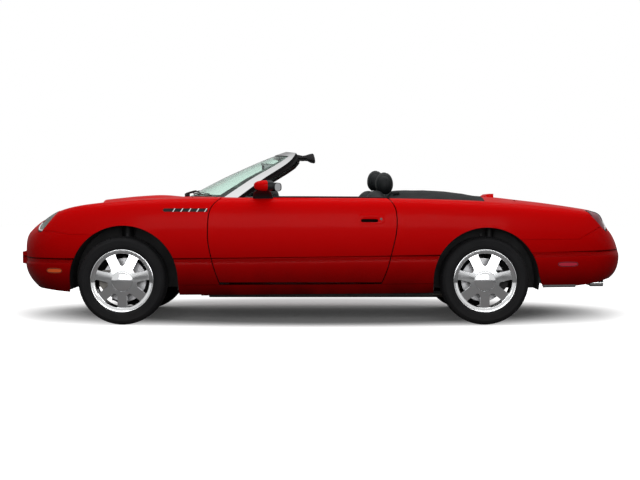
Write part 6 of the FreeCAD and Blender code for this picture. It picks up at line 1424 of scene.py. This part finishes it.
vinyl = surface("cover_vinyl", (0.011, 0.013, 0.014), 0.62, 650.0, 0.0007, change=0.3, specular=0.12)
bm = bmesh.new()
outs = spread(0.0, 0.9, 30) + spread(0.92, 1.0, 4)
places = [-out for out in reversed(outs[1:])] + outs
rows = []
for share in spread(0.0, 1.0, 90):
    x = cover_low[0] + (cover_high[0] - cover_low[0]) * share
    rows.append([bm.verts.new((x, cover_side * place, cover_height(share, abs(place)))) for place in places])
tucked = [bm.verts.new(v.co - Vector((0, 0, TUCK))) for v in rows[0]]
grid_faces(bm, [tucked, *rows])
cover = put(bm, "boot_cover_sheet", vinyl, "root", smooth=70)
thick = cover.modifiers.new("thick", "SOLIDIFY")
thick.thickness = COVER_THICK
thick.offset = 1.0
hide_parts("boot_cover")
bm = bmesh.new()
for share in STUD_SHARES:
    x = cover_low[0] + (cover_high[0] - cover_low[0]) * share
    for way in (-1, 1):
        into = Matrix.Translation((x, cover_side * STUD_OUT * way, cover_height(share, STUD_OUT) + 0.0035))
        disc(bm, 20, 0.0065, 0.0045, 0.003, into)
put(bm, "cover_studs", satin, "root")

# Grille. A chromed egg-crate of thin bars sits in a bright surround. Fine dark mesh is clipped in behind it
# and closes the opening.
MESH_HALF, MESH_Z, MESH_TALL = 0.322, 0.606, 0.068
MESH_BACK, MESH_BOW, MESH_THICK = 0.046, 0.42, 0.003
dress(bright, "grille")
mesh_black = surface("mesh_black", (0.012, 0.012, 0.013), 0.6, 500.0, 0.0003, change=0.2)
mesh_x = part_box("grille")[0][0] + MESH_BACK
bm = bmesh.new()
rows = []
for up in spread(-1, 1, 8):
    row = []
    for across in spread(-1, 1, 40):
        y = MESH_HALF * across
        reach = math.sqrt(max(1 - (0.985 * across) ** 2, 0.0))
        row.append(bm.verts.new((mesh_x + MESH_BOW * y ** 2, y, MESH_Z + MESH_TALL * up * reach)))
    rows.append(row)
plate(bm, rows, [[bm.verts.new(v.co + Vector((MESH_THICK, 0, 0))) for v in row] for row in rows])
put(bm, "grille_mesh", mesh_black, "root")

# Number plates. A black moulded holder stands on the nose pad. A blank plate is screwed to another holder,
# which follows the tail cover. Each slab row is its half width, its two heights and how far its faces lift.
HOLDER_SLAB = (0.165, 0.455, 0.605, (-0.006, 0.0015))
PLATE_SLAB = (0.152, 0.459, 0.601, (0.0008, 0.0030))


def tail_slab(bm, half, low, high, lifts):
    """A thin slab that lies on the tail cover between two heights."""
    places = spread(-half, half, 8)
    grid = [[hit("rear_bumper", (4, y, z), (-1, 0, 0)) for y in places] for z in spread(low, high, 6)]
    faces = []
    for lift in lifts:
        faces.append([[bm.verts.new(spot + Vector((lift, 0, 0))) for spot in row] for row in grid])
    plate(bm, *faces)


plate_white = surface("plate_white", (0.72, 0.72, 0.70), 0.35, 300.0, 0.00005, change=0.04)
pad_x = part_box("front_bumper")[0][0]
bm = bmesh.new()
box_mesh(bm, (pad_x - 0.006, -0.155, 0.438), (pad_x + 0.001, 0.155, 0.532), 0.003)
put(bm, "front_plate_holder", moulding, "root")
for name, material, slab in (
    ("rear_plate_holder", moulding, HOLDER_SLAB), ("rear_plate", plate_white, PLATE_SLAB),
):
    bm = bmesh.new()
    tail_slab(bm, *slab)
    put(bm, name, material, "root")

# Headlamps. Each is a round moulded lens that leans back with the wing, in a dark bezel ring, with a strip
# round its lower part that is painted flat white as the highlight on a bright bezel there.
HEADLAMP_Y, LAMP_Z = 0.672, 0.782
STRIP_TOP_Z, STRIP_INNER = 0.800, -0.072


def lens_rim(node, centre_y, radius, towards, inset, count=72):
    """Points round a lamp's lens on its own surface, seen towards the back (1) or the front (-1)."""
    points = []
    for turn in round_turns(count):
        _, y, z = around_x((0, centre_y, LAMP_Z), radius, turn)
        place = hit(node, (-towards * 4, y, z), (towards, 0, 0))
        if place:
            points.append(Vector((place.x + towards * inset, y, z)))
    return points


def lamp_turn(p, lamp_y, way):
    """A point's angle about a lamp's middle: zero below it, growing towards the car's side."""
    return math.atan2((p.y - lamp_y * way) * way, LAMP_Z - p.z)


lens = clear_material("clear_lens", (0.62, 0.72, 0.68), 0.62, 1.12, 0.04, 90.0, 0.05, 0.09)
# Painted highlight: the lamp strip is a flat bright white.
lamp_strip_highlight = surface("lamp_strip_highlight", (0.88, 0.89, 0.90), 0.14, 500.0, 0.00002, change=0.03, coat=0.5)
dress_faces("headlamps", (lens, moulding), lambda c, n: 0 if n.x < 0.15 and abs(n.y) < 0.98 else 1)
for side, way in SIDES:
    bm = bmesh.new()
    tube(bm, lens_rim("headlamps", HEADLAMP_Y * way, 0.0835, 1, -0.0012), 0.0028, 8, closed=True)
    put(bm, f"headlamp_bezel_{side}", moulding, "root")
    bm = bmesh.new()
    ring = lens_rim("headlamps", HEADLAMP_Y * way, 0.0745, 1, -0.0016, 120)
    strip = [p for p in ring if p.z < STRIP_TOP_Z and (p.y - HEADLAMP_Y * way) * way > STRIP_INNER]
    tube(bm, sorted(strip, key=lambda p: lamp_turn(p, HEADLAMP_Y, way)), 0.0065, 10)
    put(bm, f"headlamp_strip_{side}", lamp_strip_highlight, "root")

# Tail lamps. Round greyish-red moulded lenses, each with a dark edge ring and a clear reversing band let into
# its lower inner part; the band is painted flat bright white as the lens's highlight there.
TAIL_LAMP_Y = 0.648
BAND_FROM, BAND_TO = -1.5, 0.1
tail_red = surface("tail_lens", (0.27, 0.026, 0.050), 0.14, 120.0, 0.0002, change=0.25, coat=0.3)
# Painted highlight: the reversing band is a flat bright white.
band_highlight = surface("reverse_band_highlight", (0.70, 0.70, 0.71), 0.20, 200.0, 0.0001, change=0.05, coat=0.4)
dress_faces("tail_lamps", (tail_red, moulding), lambda c, n: 0 if n.x > 0.1 else 1)
for side, way in SIDES:
    bm = bmesh.new()
    tube(bm, lens_rim("tail_lamps", TAIL_LAMP_Y * way, 0.0815, -1, -0.0012), 0.0030, 8, closed=True)
    put(bm, f"tail_lamp_ring_{side}", moulding, "root")
    bm = bmesh.new()
    ring = lens_rim("tail_lamps", TAIL_LAMP_Y * way, 0.066, -1, -0.0012, 120)
    band = [p for p in ring if BAND_FROM < lamp_turn(p, TAIL_LAMP_Y, way) < BAND_TO]
    tube(bm, sorted(band, key=lambda p: lamp_turn(p, TAIL_LAMP_Y, way)), 0.0055, 10)
    put(bm, f"tail_lamp_band_{side}", band_highlight, "root")

# Side markers. Small round-edged lenses are let into the nose and tail corners, amber in front and red
# behind, each with a moulded edge. Each row is a marker's middle and half sizes in the side view.
MARKERS = (("front", -2.020, 0.405, 0.060, 0.016), ("rear", 1.861, 0.456, 0.076, 0.016))
MARKER_EDGE_R = 0.0022
amber = surface("amber_lens", (0.95, 0.12, 0.010), 0.14, 160.0, 0.0002, change=0.12, coat=0.5)
red_marker = surface("marker_lens", (0.66, 0.020, 0.055), 0.14, 160.0, 0.0002, change=0.12, coat=0.5)
dress(amber, "front_markers")
dress(red_marker, "rear_markers")
for end, centre_x, centre_z, half, tall in MARKERS:
    for side, way in SIDES:
        ring = []
        for across, up in (squircle(turn, 3) for turn in round_turns(64)):
            x, z = centre_x + half * across, centre_z + tall * up
            y = from_side(f"{end}_markers", x, z, way)
            if y is not None:
                ring.append((x, y + 0.0008 * way, z))
        bm = bmesh.new()
        tube(bm, ring, MARKER_EDGE_R, 8, closed=True)
        put(bm, f"{end}_marker_edge_{side}", moulding, "root")

# Brake-lamp pod. A smoked red moulded lens is clipped into the back of the small fin on the rear deck. The
# fin is painted with the deck.
POD_Z, POD_HALF = 0.964, 0.13


def deck_finish(centre, normal):
    """Paint (0) or the brake lamp's lens (1), for one face of the rear deck."""
    return 1 if centre.z > POD_Z and abs(centre.y) < POD_HALF and normal.x > 0.6 else 0


dress_faces("rear_deck", (lacquer, tail_red), deck_finish)

# Exhaust. A plain bent steel pipe with welded silencers, streaked with rust. It hangs under the floor and
# ends in polished tips at the tail.
TIPS_X = 2.085
pipe_steel = surface(
    "pipe_steel", (0.32, 0.29, 0.26), 0.45, 45.0, 0.0004, metallic=0.8, change=0.5, spread=0.15,
)
dress_faces("exhaust", (pipe_steel, bright), lambda c, n: 1 if c.x > TIPS_X else 0)

# Rear valance strips. A grey extruded moulding is pushed on along the bottom edge of the tail cover, behind
# each rear wheel.
VALANCE_X = (1.655, 1.925)
VALANCE_R = 0.011
low_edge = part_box("rear_bumper")[0][2] + 0.012
valance_grey = surface("valance_grey", (0.13, 0.13, 0.13), 0.55, 500.0, 0.0004, change=0.2)
for side, way in SIDES:
    path = []
    for x in spread(*VALANCE_X, 14):
        y = from_side("rear_bumper", x, low_edge + 0.02, way)
        if y is not None:
            path.append((x, y - 0.010 * way, low_edge))
    bm = bmesh.new()
    tube(bm, path, VALANCE_R, 10)
    put(bm, f"valance_{side}", valance_grey, "root")

# Coil springs and dampers. Black wound coils stand round painted dampers, between each wheel's arm and its
# tower.
STRUT_Y, COIL_LOW_Z, COIL_HIGH_Z = 0.560, 0.40, 0.66
DAMPER_Z = (0.37, 0.55, 0.68)
COIL_R, COIL_WIRE_R, COIL_TURNS, TURN_STEPS = 0.052, 0.0065, 6, 16
DAMPER_R, ROD_R = 0.024, 0.010
spring_black = surface("spring_black", (0.015, 0.015, 0.016), 0.45, 400.0, 0.0002, change=0.2)
damper_grey = surface("damper_grey", (0.030, 0.030, 0.032), 0.40, 400.0, 0.0002, change=0.2)
for end, axle_x in AXLES:
    for side, way in SIDES:
        foot, rod_foot, top = ((axle_x, way * STRUT_Y, z) for z in DAMPER_Z)
        bm = bmesh.new()
        coil = []
        for k, z in enumerate(spread(COIL_LOW_Z, COIL_HIGH_Z, COIL_TURNS * TURN_STEPS)):
            turn = math.tau * k / TURN_STEPS
            coil.append((axle_x + COIL_R * math.cos(turn), way * STRUT_Y + COIL_R * math.sin(turn), z))
        tube(bm, coil, COIL_WIRE_R, 8)
        put(bm, f"spring_{end}_{side}", spring_black, "root")
        bm = bmesh.new()
        tube(bm, [foot, rod_foot], DAMPER_R, 20)
        tube(bm, [rod_foot, top], ROD_R, 14)
        put(bm, f"damper_{end}_{side}", damper_grey, "root")
